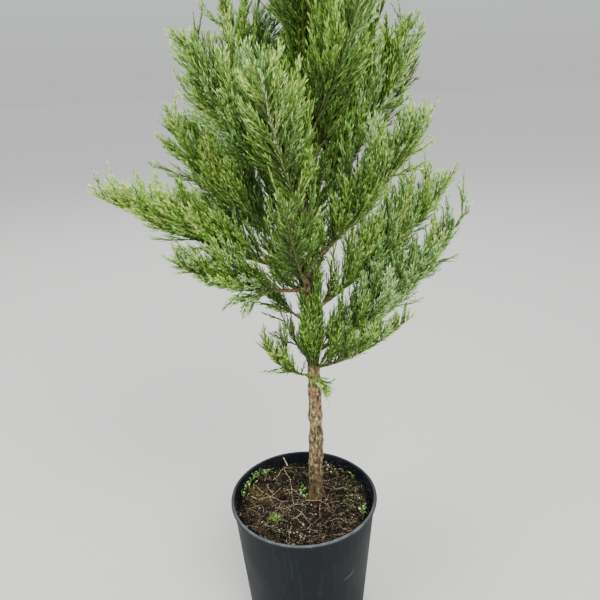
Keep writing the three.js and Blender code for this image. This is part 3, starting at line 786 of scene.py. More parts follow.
# they go round the shoot by the golden angle, as leaves do, but a spray is flatter than it is wide
NEXT_ROUND, FLATTER = 2.4, 0.8
per_shoot = np.maximum(0, (shoot_lengths - 12) / 8).astype(int)
where, order = in_turn(per_shoot)
share = (order + rng.uniform(0.3, 0.7, len(where))) / per_shoot[where]
t = 0.1 + 0.76 * share
heading, across, over = spray_frames(shoot_arcs, where, t)
roll = order * NEXT_ROUND + rng.uniform(0, ALL_ROUND, len(shoot_arcs))[where]
outward = unit(around(across, FLATTER * over, roll))
wanted = shoot_lengths[where] * (0.5 - 0.32 * share) * rng.uniform(0.85, 1.15, len(where))
# the whole spray is swept up towards the light, but for the boughs that hang
swept = np.where(np.isin(shoot_mass[where], HANGING), 0.0, 0.3)[:, None]
more, more_lengths, tries = grow(
    shoot_arcs, shoot_mass, [0.6, 1], where, t, outward, rng.uniform(18, 27, len(where)),
    unit(heading + UP * swept), amount=0.6, lengths=wanted, reach=FINE_REACH, shortest=8,
)
cord_arcs, cord_lengths, cord_mass, cord_parent = with_new(
    (cord_arcs, more), (cord_lengths, more_lengths), (cord_mass, shoot_mass[where[tries]]),
    (cord_parent, where[tries]),
)
print(len(more), "finer cords, of", len(where), "tries")

# %% Sprigs along stems, shoots and cords
# A plume is broad just above its foot and ends in a point, so a sprig's length follows its place
SPRIG_PITCH = 4.0
axes = np.concatenate([stems, shoot_arcs, cord_arcs])
axis_lengths = np.concatenate([stem_lengths, shoot_lengths, cord_lengths])
axis_mass = np.concatenate([np.arange(len(stems)), shoot_mass, cord_mass])
axis_level = np.repeat([0, 1, 2], [len(stems), len(shoot_arcs), len(cord_arcs)])
first_share = np.full(len(axes), 0.1)
first_share[: len(stems)] = np.maximum(bare, 0.12)
per_axis = (axis_lengths * (1 - first_share) / SPRIG_PITCH).astype(int)
where, order = in_turn(per_axis)
share = (order + rng.uniform(0.3, 0.7, len(where))) / per_axis[where]
t = first_share[where] + (0.985 - first_share[where]) * share
heading, across, over = spray_frames(axes, where, t)
roll = order * NEXT_ROUND + rng.uniform(0, ALL_ROUND, len(axes))[where]
outward = unit(around(across, FLATTER * over, roll))
longest = np.clip(axis_lengths * 0.44, 8, 18)[where]
wanted = longest * (1 - 0.7 * share) * (0.6 + 0.4 * np.minimum(1, share * 5))
wanted = wanted * rng.uniform(0.85, 1.15, len(where))
sprig_arcs, sprig_lengths, tries = grow(
    axes, axis_mass, [1.0], where, t, outward, rng.uniform(17, 26, len(where)), heading,
    amount=0.5, lengths=wanted, reach=0.6, shortest=3.5,
)
sprig_parent = where[tries]
sprig_share = share[tries]
print(len(sprig_arcs), "sprigs, of", len(where), "tries")
print("cords of every kind come to", int(axis_lengths.sum() + sprig_lengths.sum()) // 1000, "m")

# %% [markdown]
# ## Which green each sprig has
# New growth at the tips is a bright yellow-green. Sprigs deep in the crown are dealt deeper greens and
# those on its outside lighter ones, a painted shade and a painted light on top of the lamps' own. Some
# shoots, most of them low on the right, have a bluish bloom of wax. A whole shoot is of one kind, a bit
# deeper or brighter than the next one, and its sprigs are dealt to a few plain greens by how far out they
# are, how high they are, how near the plume's tip, and a little chance.

# %% Dealing the sprigs to their greens
# the height in mm and the crown's half width there
CROWN_EDGE = np.array(
    [[330, 70], [380, 110], [450, 170], [520, 165], [600, 140], [700, 105], [800, 70], [900, 25]]
)


def crown_share(points):
    """0 at the trunk and 1 at the crown's outer edge."""
    axis = trunk_at(points[:, 2])
    away = np.linalg.norm((points - axis)[:, :2], axis=1)
    return away / np.interp(points[:, 2], CROWN_EDGE[:, 0], CROWN_EDGE[:, 1])


# the greens run from deep to light; dealt by place, the deeper ones inside the crown are painted shade and
# the lighter ones on its outside painted light
GREENS = {
    "shade": "#38561a",
    "deep": "#5f8731",
    "leaf": "#93c54f",
    "light": "#c8f076",
    "tip": "#dffb92",
    "bloom_shade": "#375825",
    "bloom_deep": "#577f3d",
    "bloom_leaf": "#8fbd68",
    "bloom_light": "#c0ec9a",
    "bloom_tip": "#d8f8b4",
    "straw": "#c2b97a",
}
MOST_TONE, STRAW = 3, 10
BLOOM = list(GREENS).index("bloom_shade")
# the chance that a shoot has the bloom, and how much brighter or deeper a bough is than its place gives
BLOOMING = {
    "right_long": 0.85, "right_low": 0.45, "right_second": 0.5, "left_low": 0.5, "back_left": 0.4,
    "front_drooping": 0.0, "left_small": 0.05, "inside": 0.15,
}
# crown_01, in the crown's middle, and the inside shoots are made deeper: painted shade
TONES = {
    "crown_01": -1.1, "inside": -0.3, "left_long": 0.2, "left_top": -0.15, "left_small": 0.6,
    "front_drooping": 1.2, "right_low": 0.5, "left_low": 0.3, "right_long": 0.2, "right_second": 0.2,
}
bloom_chance = np.array([BLOOMING.get(name, 0.28) for name in MASS_NAMES])
tone_of = np.array([TONES.get(name, 0.0) for name in MASS_NAMES])

plumes = len(stems) + len(shoot_arcs)
plume_of_axis = np.concatenate([np.arange(plumes), len(stems) + cord_parent])
plume_mass = axis_mass[:plumes]
plume_tone = rng.normal(0, 0.65, plumes) + tone_of[plume_mass]
plume_blooms = rng.random(plumes) < bloom_chance[plume_mass]


def dealt(arcs, plume, plume_share):
    """The green of each arc, as an index into GREENS."""
    middle = points_on(arcs, np.full((len(arcs), 1), 0.6))[:, 0]
    out = crown_share(middle)
    # farther from the trunk is lighter: painted light on the crown's outside and painted shade inside it;
    # nearer a plume's tip is lighter, as new growth is
    tone = 0.3 + 1.3 * np.clip(out, 0, 1.1) ** 1.3 + 1.6 * (plume_share - 0.45)
    tone = tone + rng.normal(0, 0.55, len(arcs))
    tone += 0.35 * (middle[:, 2] - 500) / 400 + plume_tone[plume]
    green = np.clip(np.floor(tone + 0.8), 0, MOST_TONE).astype(int) + BLOOM * plume_blooms[plume]
    return np.where(rng.random(len(arcs)) < 0.012, STRAW, green)


sprig_green = dealt(sprig_arcs, plume_of_axis[sprig_parent], sprig_share)
axis_green = dealt(axes, plume_of_axis, np.full(len(axes), 0.35))
dealt_out = np.bincount(sprig_green, minlength=len(GREENS)).tolist()
print("sprigs of each green:", dict(zip(GREENS, dealt_out)))

# %% [markdown]
# ## Needles
# A giant redwood's needle is an awl 3 to 8 mm long: it clasps the cord with a broad foot, is widest a
# third of the way up and draws out to a point, with a keel along its back. Two faces that meet on the keel
# show all of that. They sit round the cord in a spiral, as leaves do, a golden angle apart.

# %% Needles along arcs
GOLDEN = 2.39996
NEEDLE_WIDTH = 1.02


def needles(arcs, lengths, pitch, needle_length, spread, from_share, radius):
    """Corners of keeled needles in a spiral along each arc, each needle's arc and its share of it."""
    count = np.maximum(3, (lengths * (1 - from_share) / pitch).astype(int))
    which, order = in_turn(count)
    share = from_share + (1 - from_share) * (order + 0.6) / count[which]
    heading, across, over = frames_at(arcs, which, np.minimum(share, 0.98))
    outward = around(across, over, order * GOLDEN + rng.uniform(0, ALL_ROUND, len(arcs))[which])
    close = np.where(share > 0.85, 0.5, 1.0)
    way = lean(heading, outward, spread * close * rng.uniform(0.75, 1.2, len(which)))
    side = unit(np.cross(way, outward))
    back = unit(np.cross(side, way))
    long = (needle_length * rng.uniform(0.8, 1.2, len(which)) * (1 - 0.25 * share))[:, None]
    half = NEEDLE_WIDTH / 2
    root = points_on(arcs[which], share[:, None])[:, 0] + outward * radius
    widest = root + way * long * 0.3 - back * half * 0.55
    tip = root + way * long - back * long * 0.08
    corners = np.stack([root - way * 0.4, widest + side * half, widest - side * half, tip], 1)
    return corners, which, share


KEELED = np.array([[0, 1, 3], [0, 3, 2]])
# on sprigs, and then on stems, shoots and cords: the pitch and length in mm, the spread in degrees and
# the first share. A needle's foot is a skin's radius in mm from the middle of what it grows on
ON_SPRIGS = (1.85, 5.2, 11, 0.03)
ON_AXES = [(0.8, 7.0, 26, 0.16), (1.5, 6.2, 20, 0.04), (1.7, 5.6, 15, 0.04)]
SPRIG_SKIN, AXIS_SKIN = 0.25, 0.4
sets = [(*needles(sprig_arcs, sprig_lengths, *ON_SPRIGS, SPRIG_SKIN), sprig_green)]
for kind, (pitch, long, spread, start) in enumerate(ON_AXES):
    i = np.flatnonzero(axis_level == kind)
    sets.append((*needles(axes[i], axis_lengths[i], pitch, long, spread, start, AXIS_SKIN), axis_green[i]))
all_needles = np.concatenate([s[0] for s in sets])
needle_green = np.concatenate([s[3][s[1]] for s in sets])
# the youngest needles, at the end of each cord, are one green lighter
young = np.concatenate([s[2] for s in sets]) > 0.62
needle_green += young & (needle_green < STRAW)
print(len(all_needles), "needles,", 2 * len(all_needles), "triangles")

# %% [markdown]
# ## The foliage's finish
# Living needles have a thin coat of wax over green tissue. To the eye that is a soft green with a mild,
# broad shine, never a mirror. Each needle differs a little from the next, so a fine mottle of a few
# millimetres makes the base colour a shade lighter or darker around the sprig's own green.


# %% A waxy needle finish for each green
def waxy_needle(name, colour):
    stops = [(0.35, shaded(colour, 0.84)), (0.65, shaded(colour, 1.12))]
    wax = {"Roughness": 0.5, "IOR": 1.45, "Specular IOR Level": 0.35}
    return mottled(name, scale=260.0, detail=2.0, stops=stops, sockets=wax)


needle_finishes = {name: waxy_needle("waxy_needle_" + name, colour) for name, colour in GREENS.items()}
print(len(needle_finishes), "greens")

# %% Needles joined by green, in pieces of under 200,000 triangles
foliage_nodes = sorted(n for n in nodes if n.startswith("foliage_"))
MOST_NEEDLES = 96000
for number, name in enumerate(GREENS):
    mine = all_needles[needle_green == number]
    parts = -(-len(mine) // MOST_NEEDLES)
    for part in range(parts):
        chunk = mine[part * len(mine) // parts : (part + 1) * len(mine) // parts]
        piece(
            f"needles_{name}_{part + 1}", *repeated(chunk, KEELED), needle_finishes[name], "foliage",
            foliage_nodes,
        )

# %% [markdown]
# ## Round limbs
# A limb is a tube: rings of points square to its arc, with a radius at each ring, joined by strips and
# drawn to a point at its tip. One function makes the rings of any number of arcs at once.


# %% Tubes along arcs
def tubes(arcs, shares, radii, sides):
    """Points and faces of tubes. shares and radii are (n, rings). The last ring closes to a point."""
    n, rings = shares.shape
    middle = points_on(arcs, shares)
    way = headings_on(arcs, shares)
    start = np.repeat(headings_on(arcs, shares[:, :1]), rings, 1)
    across, over = square_to(way, start)
    turn = full_turn(sides)[:, None]
    ring = across[:, :, None] * np.cos(turn) + over[:, :, None] * np.sin(turn)
    points = middle[:, :, None] + ring * radii[:, :, None, None]
    tip = middle[:, -1] + way[:, -1] * radii[:, -1:]
    points = np.concatenate([points.reshape(n, -1, 3), tip[:, None]], 1)
    foot = np.stack([np.zeros(sides - 2, int), np.arange(2, sides), np.arange(1, sides - 1)], 1)
    caps = np.concatenate([fan((rings - 1) * sides, sides, rings * sides), foot])
    return repeated(points, joined(rings, sides), caps)


def like_tubes(arcs, shares, radii, sides):
    """Tubes that all have the same shares and radii."""
    shares, radii = (np.tile(row, (len(arcs), 1)) for row in (shares, radii))
    return tubes(arcs, shares, radii, sides)


# %% [markdown]
# ## The cords under the needles
# The cords are this year's and last year's growth, so they are green and thin. The shoots' axes are older
# and turn an olive tan. Both show between the needles as fine lines.

# %% The cords and the shoots' axes
green_cord = mottled(
    "green_cord_skin", scale=120.0, detail=2.0, stops=[(0.3, "#5f7d32"), (0.7, "#94b05c")],
    sockets={"Roughness": 0.5},
)
olive_shoot = mottled(
    "olive_shoot_skin", scale=90.0, detail=2.0, stops=[(0.3, "#4a5024"), (0.7, "#7b8244")],
    sockets={"Roughness": 0.6},
)

way = headings_on(sprig_arcs, np.zeros((len(sprig_arcs), 1)))[:, 0]
across, over = square_to(way, way)
THIRDS = (0, 2.09, 4.19)
corners = [sprig_arcs[:, 0] + 0.5 * (across * math.cos(a) + over * math.sin(a)) for a in THIRDS]
corners = np.stack([*corners, sprig_arcs[:, 2]], 1)
piece("sprig_cords", *repeated(corners, KEELED), green_cord, "foliage", foliage_nodes)

for name, arcs, rings, thick, thin, finish in (
    ("cords", cord_arcs, 3, 0.6, 0.3, green_cord), ("shoot_axes", shoot_arcs, 5, 0.95, 0.35, olive_shoot)
):
    slim = like_tubes(arcs, np.linspace(0, 0.98, rings), np.linspace(thick, thin, rings), 3)
    piece(name, *slim, finish, "foliage", foliage_nodes, smooth=True)

# %% [markdown]
# ## Bark relief
# Young redwood bark is soft and stringy. It splits lengthwise as the trunk thickens and lifts in small
# plates, so the surface is ridges a millimetre or two wide, steps where a plate has come away, and a knob
# wherever a twig has died. That is shape, so the points are moved, and the finish only adds colour.


# %% Repeatable noise for relief
def lattice(cell, seed):
    """A number from -1 to 1 for each whole-numbered cell."""
    h = cell.astype(np.int64) * np.array([73856093, 19349663, 83492791])
    h = (h[..., 0] ^ h[..., 1] ^ h[..., 2]) + seed * 2654435761
    h = (h ^ (h >> 13)) * 1274126177 & 0x7FFFFFFF
    h = (h ^ (h >> 15)) & 0xFFFFF
    return h / 0x7FFFF - 1.0


def noise(points, seed=0):
    """Smooth noise of cells one unit wide."""
    low = np.floor(points)
    u = points - low
    u = u * u * (3 - 2 * u)
    total = 0
    for dx in (0, 1):
        for dy in (0, 1):
            for dz in (0, 1):
                weight = np.where(dx, u[..., 0], 1 - u[..., 0]) * np.where(dy, u[..., 1], 1 - u[..., 1])
                weight = weight * np.where(dz, u[..., 2], 1 - u[..., 2])
                total = total + weight * lattice(low + np.array([dx, dy, dz]), seed)
    return total


def turned_from(angles, bearing):
    """How far round each angle is from a bearing, in radians."""
    return np.abs((angles - bearing + math.pi) % (2 * math.pi) - math.pi)


# %% The trunk with its bark
TRUNK_SIDES = 72
BURIED_FOOT, TRUNK_END = 154, 842.2
# rings lie closest on the bare lower trunk, which shows most: from, to and step
RING_STEPS = [(BURIED_FOOT, 360, 1.1), (360, 560, 1.8), (560, 842, 3.0)]
heights = np.concatenate([*(np.arange(*steps) for steps in RING_STEPS), [841.5]])
H, A = np.meshgrid(heights, full_turn(TRUNK_SIDES), indexing="ij")
girth = trunk_radius(H)
knob = 1 + 0.05 * np.sin(H * 0.21) + 0.03 * np.sin(3 * A + H * 0.06)
flare = 3.4 * (0.6 + 0.4 * np.cos(5 * A)) * np.exp(-np.maximum(H - TRUNK_FOOT[2], 0) / 9)
ring = np.stack([np.cos(A), np.sin(A), 0 * A], 2)
skin_place = ring * girth[..., None]
# fibres, fine fibres, plates and lumps: how wide and how long each is, in mm
GRAIN = [(1.5, 13), (0.7, 5), (4.2, 9), (9, 20)]
fibres, fine_fibres, plates, lumps = (
    noise(np.concatenate([skin_place[..., :2] / wide, H[..., None] / long], 2), seed)
    for seed, (wide, long) in enumerate(GRAIN, 1)
)
plate_step = 1 / (1 + np.exp(-(plates - 0.05) * 14))
bark = 0.4 * fibres + 0.16 * fine_fibres + 0.75 * (plate_step - 0.5) + 0.5 * lumps
# knobs where twigs have died: height, bearing in degrees, how far it stands out, how wide
KNOBS = [
    (273, 195, 1.8, 5.5), (257, 280, -1.5, 3.6), (217, 335, 1.6, 5), (204, 215, 1.3, 6), (236, 20, 1.5, 6),
    (292, 300, 1.0, 5), (312, 200, 1.1, 4), (186, 120, 1.6, 6), (246, 100, 1.4, 5), (322, 30, 1.2, 4),
]
for height, bearing, proud, wide in KNOBS:
    swing = turned_from(A, math.radians(bearing)) * girth
    bark += proud * np.exp(-((swing / wide) ** 2) - ((H - height) / wide) ** 2)
# the bark swells into a collar under each bough
for m in range(len(sizes)):
    swing = turned_from(A, bearings[m]) * girth
    size = 1.6 * stem_radii[m]
    above = (H - sizes[m, 0] + 1) / (1.5 * size)
    bark += 0.45 * stem_radii[m] * np.exp(-((swing / size) ** 2) - above**2)
bark *= np.clip(girth / 7.5, 0.25, 1)
grid = trunk_at(H.ravel()).reshape(*H.shape, 3)
grid[..., 2] = H
grid = grid + ring * (girth * knob + flare + bark)[..., None]
trunk_skin = closed_rings(grid, [*TRUNK_FOOT[:2], BURIED_FOOT], [*trunk_line(1)[0][:2], TRUNK_END])
print("bark stands from", round(float(bark.min()), 2), "to", round(float(bark.max()), 2), "mm")

# %% [markdown]
# ## Stringy tan bark
# The colour follows the fibres: dark brown in the splits, tan on the ridges, and a pale orange tan where a
# plate has just come away. Near the pot the bark is older, greyer and a little green with algae. The noise
# is stretched along the trunk by scaling its height down, because fibres are long and narrow.

# %% The bark's finish
stringy_bark, tree, shader = new_finish("stringy_tan_bark", {"Roughness": 0.85})
at = {"Vector": add(tree, "TexCoord").outputs["Object"]}
# flakes 3 mm wide and 7 mm long: 330 cells a metre across and 140 along
along = add(tree, "Mapping", {"Scale": (330, 330, 140)}, at)
fibre = add(
    tree, "TexNoise", {"Scale": 1.0, "Detail": 5.0, "Roughness": 0.68}, {"Vector": along.outputs["Vector"]}
)
fibre_tone = add(
    tree, "ValToRGB", None, {"Fac": fibre.outputs["Fac"]},
    [(0.36, "#1b140b"), (0.46, "#54452c"), (0.56, "#8e7e59"), (0.66, "#d4c498")],
)
# plates about 8 mm wide and 20 mm long
wide = add(tree, "Mapping", {"Scale": (120, 120, 45)}, at)
plate = add(tree, "TexNoise", {"Scale": 1.0, "Detail": 2.0}, {"Vector": wide.outputs["Vector"]})
plate_edge = add(
    tree, "MapRange", {"From Min": 0.56, "From Max": 0.64, "To Max": 0.42},
    {"Value": plate.outputs["Fac"]},
)
fresh = add(
    tree, "Mix", {MIX_B: linear("#96703f")},
    {MIX_A: fibre_tone.outputs["Color"], MIX_FACTOR: plate_edge.outputs["Result"]}, data_type="RGBA",
)
height = add(tree, "SeparateXYZ", None, at)
low = add(
    tree, "MapRange", {"From Min": 0.16, "From Max": 0.26, "To Min": 0.9, "To Max": 0.0},
    {"Value": height.outputs["Z"]},
)
# inside the crown the bark is darker, brown with some green in it: painted shade of the crown over it, on
# the tone of younger bark
high = add(
    tree, "MapRange", {"From Min": 0.33, "From Max": 0.46, "To Max": 0.85}, {"Value": height.outputs["Z"]}
)
toned = fresh
for colour, where_it_is in (("#8a8067", low), ("#7d7340", high)):
    toned = add(
        tree, "Mix", {MIX_B: linear(colour)},
        {MIX_A: toned.outputs[MIX_COLOUR], MIX_FACTOR: where_it_is.outputs["Result"]},
        data_type="RGBA", blend_type="MULTIPLY",
    )
tree.links.new(toned.outputs[MIX_COLOUR], shader.inputs["Base Color"])
grain = add(tree, "Bump", {"Strength": 0.5, "Distance": 0.0006}, {"Height": fibre.outputs["Fac"]})
tree.links.new(grain.outputs["Normal"], shader.inputs["Normal"])
piece("trunk_bark", *trunk_skin, stringy_bark, "trunk_bark", ["trunk"], smooth=True)

# %% [markdown]
# ## The boughs and stems
# A bough is one tapering limb that runs on inside its mass as the stem that the shoots leave. Its bark is
# thin and still smooth, tan brown with shallow wrinkles, and turns green where the wood is youngest.

# %% Boughs with their bark, and the stems that carry on from them
BOUGH_RINGS, BOUGH_SIDES = 26, 14
STEM_RINGS, STEM_SIDES, STEM_END = 24, 8, 0.985
bough_arcs = stems[:-1]
shares = bare[:-1, None] * np.linspace(0, 1, BOUGH_RINGS)
radii = stem_radii[:-1, None] * (1 + 0.4 * np.exp(-shares * 22)) * (1 - 0.55 * shares)
wrinkle = noise(np.stack([shares * 60, np.arange(len(shares))[:, None] * 7 + 0 * shares, 0 * shares], 2), 6)
bough_points, bough_faces = tubes(bough_arcs, shares, radii * (1 + 0.08 * wrinkle), BOUGH_SIDES)
rough = noise(bough_points / np.array([1.1, 1.1, 2.2]), 7)[:, None]
centre = np.repeat(points_on(bough_arcs, shares), BOUGH_SIDES, 1)
bough_ends = bough_points.reshape(len(shares), -1, 3)[:, -1:]
centre = np.concatenate([centre, bough_ends], 1).reshape(-1, 3)
bough_points = bough_points + (bough_points - centre) * rough * 0.12

bough_bark = mottled(
    "thin_bough_bark", scale=340.0, detail=4.0,
    stops=[(0.3, "#3f3219"), (0.5, "#6c5a31"), (0.7, "#978557")],
    sockets={"Roughness": 0.75}, bump=(0.4, 0.0004),
)
bough_nodes = sorted(n for n in nodes if n.startswith("bough_"))
piece("bough_bark", bough_points, bough_faces, bough_bark, "bough_bark", bough_nodes, smooth=True)

along = np.linspace(0, 1, STEM_RINGS)
shares = bare[:, None] + (STEM_END - bare)[:, None] * along
radii = stem_radii[:, None] * (1 - 0.55 * shares) * (1 - 0.7 * along**0.8)
stem_tubes = tubes(stems, shares, radii, STEM_SIDES)
piece("stems", *stem_tubes, olive_shoot, "bough_bark", foliage_nodes, smooth=True)

# %% [markdown]
# ## The pot's shell
# A nursery pot is injection moulded: a thin wall that tapers so that it leaves its mould, a rolled lip for
# strength, a flat base, and drain holes round it. Turning one outline round the middle gives the whole
# shell. A softened, slightly uneven lip and a parting line where the mould's halves met make it real.

# %% Turning the pot's outline
POT_SIDES = 180
BASE_RADIUS = 71.2
WALL_SLOPE = 14 / 171.2
WALL = 1.6


def inside_radius(height):
    return BASE_RADIUS + WALL_SLOPE * height - WALL


OUTSIDE = (8, 20, 40, 60, 80, 100, 120, 140, 155, 165, 169, 170.6)
INSIDE_WALL = (174, 168, 160, 150, 120, 80, 40, 12)
outline = [(0.0, 0.0), (30.0, 0.0), (60.0, 0.0)]
outline += [(69.2 + 2 * math.sin(a), 2 - 2 * math.cos(a)) for a in np.linspace(0, math.pi / 2, 6)]
outline += [(BASE_RADIUS + WALL_SLOPE * h, h) for h in OUTSIDE]
outline += [(85.6 + 2.4 * math.sin(a), 173.6 - 2.4 * math.cos(a)) for a in np.linspace(0.15, math.pi, 12)]
outline += [(84.7, 175.9), (84.2, 175.3)]
outline += [(inside_radius(h), h) for h in INSIDE_WALL]
outline += [(69.4, 4.0), (68.2, 2.2), (66.0, WALL), (40.0, WALL), (0.0, WALL)]
outline = np.array(outline)
O, A = np.meshgrid(np.arange(1, len(outline) - 1), full_turn(POT_SIDES), indexing="ij")
radius, height = outline[O, 0], outline[O, 1]
upper = np.clip((height - 60) / 116, 0, 1)
radius = radius + upper * (0.3 * np.sin(2 * A + 0.7) + 0.16 * np.sin(3 * A + 1.9) + 0.08 * np.sin(7 * A))
# two parting lines on the lip, at the front and the back, each about 2 mm wide and 0.35 mm proud
for bearing in (271.0, 91.0):
    swing = turned_from(A, math.radians(bearing))
    radius = radius + 0.35 * np.exp(-((swing / 0.012) ** 2)) * (height > 169)
height = height + upper**3 * (0.25 * np.sin(2 * A + 2.4) + 0.12 * np.sin(5 * A + 0.4))
shell = np.stack([radius * np.cos(A), radius * np.sin(A), height], 2)
pot_shell = closed_rings(shell, [0, 0, 0], [0, 0, WALL])
print("the pot's outline has", len(outline), "points")

# %% [markdown]
# ## Moulded black polypropylene
# The pot is moulded from recycled polypropylene, charcoal with a little blue. The mould leaves a satin
# face, and sun and handling leave a dusty bloom, faint streaks where water ran and a few scratches. To the
# eye it is a dark, soft shine that greys at the edges. A pale grey band along the top of the lip, strongest
# at the front, is a painted highlight with some wear in it. Polypropylene's IOR is about 1.49. A scratch is
# where the distance to a far point is nearly one size: a thin arc.

# %% The pot's finish
moulded_pp, tree, shader = new_finish(
    "moulded_recycled_polypropylene", {"IOR": 1.49, "Specular IOR Level": 0.2}
)
at = {"Vector": add(tree, "TexCoord").outputs["Object"]}
cloud = add(tree, "TexNoise", {"Scale": 14.0, "Detail": 3.0}, at)
base = add(
    tree, "ValToRGB", None, {"Fac": cloud.outputs["Fac"]},
    [(0.3, "#050a0f"), (0.55, "#090f16"), (0.75, "#0f161c")],
)
# water streaks about 4 mm wide that run down the wall
run = add(tree, "Mapping", {"Scale": (240, 240, 12)}, at)
streak = add(tree, "TexNoise", {"Scale": 1.0, "Detail": 3.0}, {"Vector": run.outputs["Vector"]})
streak_mask = add(
    tree, "MapRange", {"From Min": 0.54, "From Max": 0.78, "To Max": 0.14},
    {"Value": streak.outputs["Fac"]},
)
streaked = add(
    tree, "Mix", {MIX_B: linear("#474c4d")},
    {MIX_FACTOR: streak_mask.outputs["Result"], MIX_A: base.outputs["Color"]}, data_type="RGBA",
)
# dust specks of about half a millimetre, drawn at one millimetre to show
dust = add(tree, "TexNoise", {"Scale": 900.0, "Detail": 1.0}, at)
dust_mask = add(
    tree, "MapRange", {"From Min": 0.66, "From Max": 0.78, "To Max": 0.2}, {"Value": dust.outputs["Fac"]}
)
dusty = add(
    tree, "Mix", {MIX_B: linear("#7d8078")},
    {MIX_FACTOR: dust_mask.outputs["Result"], MIX_A: streaked.outputs[MIX_COLOUR]}, data_type="RGBA",
)
split = add(tree, "SeparateXYZ", None, at)
# a pale band along the top of the lip, mottled like wear: a painted highlight with some real wear in it
lip_highlight_band = add(
    tree, "MapRange", {"From Min": 0.1742, "From Max": 0.1758, "To Max": 0.5},
    {"Value": split.outputs["Z"]},
)
wear = add(tree, "TexNoise", {"Scale": 90.0, "Detail": 4.0}, at)
lip_highlight_and_wear = add(
    tree, "Math", None, {0: lip_highlight_band.outputs["Result"], 1: wear.outputs["Fac"]}, operation="MULTIPLY"
)
# the lip's pale band is strongest at the front and fades towards the back: a painted highlight, with some
# wear in it
front_highlight = add(
    tree, "MapRange", {"From Min": -0.07, "From Max": 0.02, "To Min": 1.0, "To Max": 0.15},
    {"Value": split.outputs["Y"]},
)
front_highlight_and_wear = add(
    tree, "Math", None, {0: lip_highlight_and_wear.outputs["Value"], 1: front_highlight.outputs["Result"]}, operation="MULTIPLY"
)
# pale grey on the lip: its painted highlight and its wear
highlit_and_worn = add(
    tree, "Mix", {MIX_B: linear("#9aa09f")},
    {MIX_FACTOR: front_highlight_and_wear.outputs["Value"], MIX_A: dusty.outputs[MIX_COLOUR]}, data_type="RGBA",
)
# each scratch: the far point it curves about, its radius, where its middle is and its half length, in mm
SCRATCHES = [
    ((29, -68, 163), 59.0, (51, -61, 105), 12),
    ((95, -40, 60), 62.0, (52, -62, 140), 9),
    ((-60, -20, 90), 46.0, (-40, -65, 125), 7),
    ((60, 90, 70), 60.0, (40, 66, 120), 16),
    ((-100, 60, 130), 50.0, (-62, 48, 105), 12),
]
scratched = highlit_and_worn
for far, size, middle, half in SCRATCHES:
    away, near = (
        add(tree, "VectorMath", {1: np.array(spot) * MM}, {0: at["Vector"]}, operation="DISTANCE")
        for spot in (far, middle)
    )
    off = add(tree, "Math", {1: size * MM}, {0: away.outputs["Value"]}, operation="SUBTRACT")
    thin = add(tree, "Math", None, {0: off.outputs["Value"]}, operation="ABSOLUTE")
    line = add(
        tree, "MapRange", {"From Min": 0.0002, "From Max": 0.0008, "To Min": 0.4, "To Max": 0.0},
        {"Value": thin.outputs["Value"]},
    )
    ends = add(
        tree, "MapRange",
        {"From Min": half * 0.5 * MM, "From Max": half * MM, "To Min": 1.0, "To Max": 0.0},
        {"Value": near.outputs["Value"]},
    )
    mask = add(
        tree, "Math", None, {0: line.outputs["Result"], 1: ends.outputs["Result"]}, operation="MULTIPLY"
    )
    scratched = add(
        tree, "Mix", {MIX_B: linear("#8b908c")},
        {MIX_FACTOR: mask.outputs["Value"], MIX_A: scratched.outputs[MIX_COLOUR]}, data_type="RGBA",
    )
tree.links.new(scratched.outputs[MIX_COLOUR], shader.inputs["Base Color"])
satin = add(
    tree, "MapRange", {"From Min": 0.3, "From Max": 0.7, "To Min": 0.5, "To Max": 0.66},
    {"Value": cloud.outputs["Fac"]},
)
tree.links.new(satin.outputs["Result"], shader.inputs["Roughness"])
skin_grain = add(tree, "Bump", {"Strength": 0.12, "Distance": 0.0003}, {"Height": dust.outputs["Fac"]})
tree.links.new(skin_grain.outputs["Normal"], shader.inputs["Normal"])

pot = piece("pot_shell", *pot_shell, moulded_pp, "pot_plastic", ["pot"], smooth=True)

# %% [markdown]
# ## Drain holes
# The holes are cut as a drill would cut them: six pins go through the base, and a Boolean takes them away.

# %% Cutting the holes
HOLES, HOLE_RADIUS, HOLE_CIRCLE, HOLE_SIDES = 6, 4.5, 56.0, 28
PIN_ENDS = (-3.0, 4.0)
pins = []
for bearing in full_turn(HOLES):
    x = HOLE_CIRCLE * math.sin(bearing) + HOLE_RADIUS * np.cos(full_turn(HOLE_SIDES))
    y = -HOLE_CIRCLE * math.cos(bearing) + HOLE_RADIUS * np.sin(full_turn(HOLE_SIDES))
    pins.append(np.concatenate([np.column_stack([x, y, np.full(HOLE_SIDES, z)]) for z in PIN_ENDS]))
rim = np.arange(HOLE_SIDES)[None]
pin_mesh = repeated(np.array(pins), joined(2, HOLE_SIDES), rim[:, ::-1], HOLE_SIDES + rim)
pin_object = put_in_scene("pins", mesh_from("pins", *pin_mesh))
pin_object.data.shade_flat()    # the holes take this over, so that their edges stay crisp
cut = pot.modifiers.new("holes", "BOOLEAN")
cut.operation = "DIFFERENCE"
cut.object = pin_object
cut.solver = "EXACT"
bpy.context.view_layer.update()
drilled = bpy.data.meshes.new_from_object(pot.evaluated_get(bpy.context.evaluated_depsgraph_get()))
pot.modifiers.clear()
pot.data = drilled
bpy.data.objects.remove(pin_object)
print("the pot has", len(drilled.polygons), "faces after drilling")

# %% [markdown]
# ## The potting mix
# The mix is composted bark and peat: crumbs from a grain of sand to a pea, packed into a lumpy surface
# that sinks a little at the wall. One fine net of points takes the lumps from noise at three sizes. The
# larger crumbs, chips and litter are pieces of their own, set down on that surface.

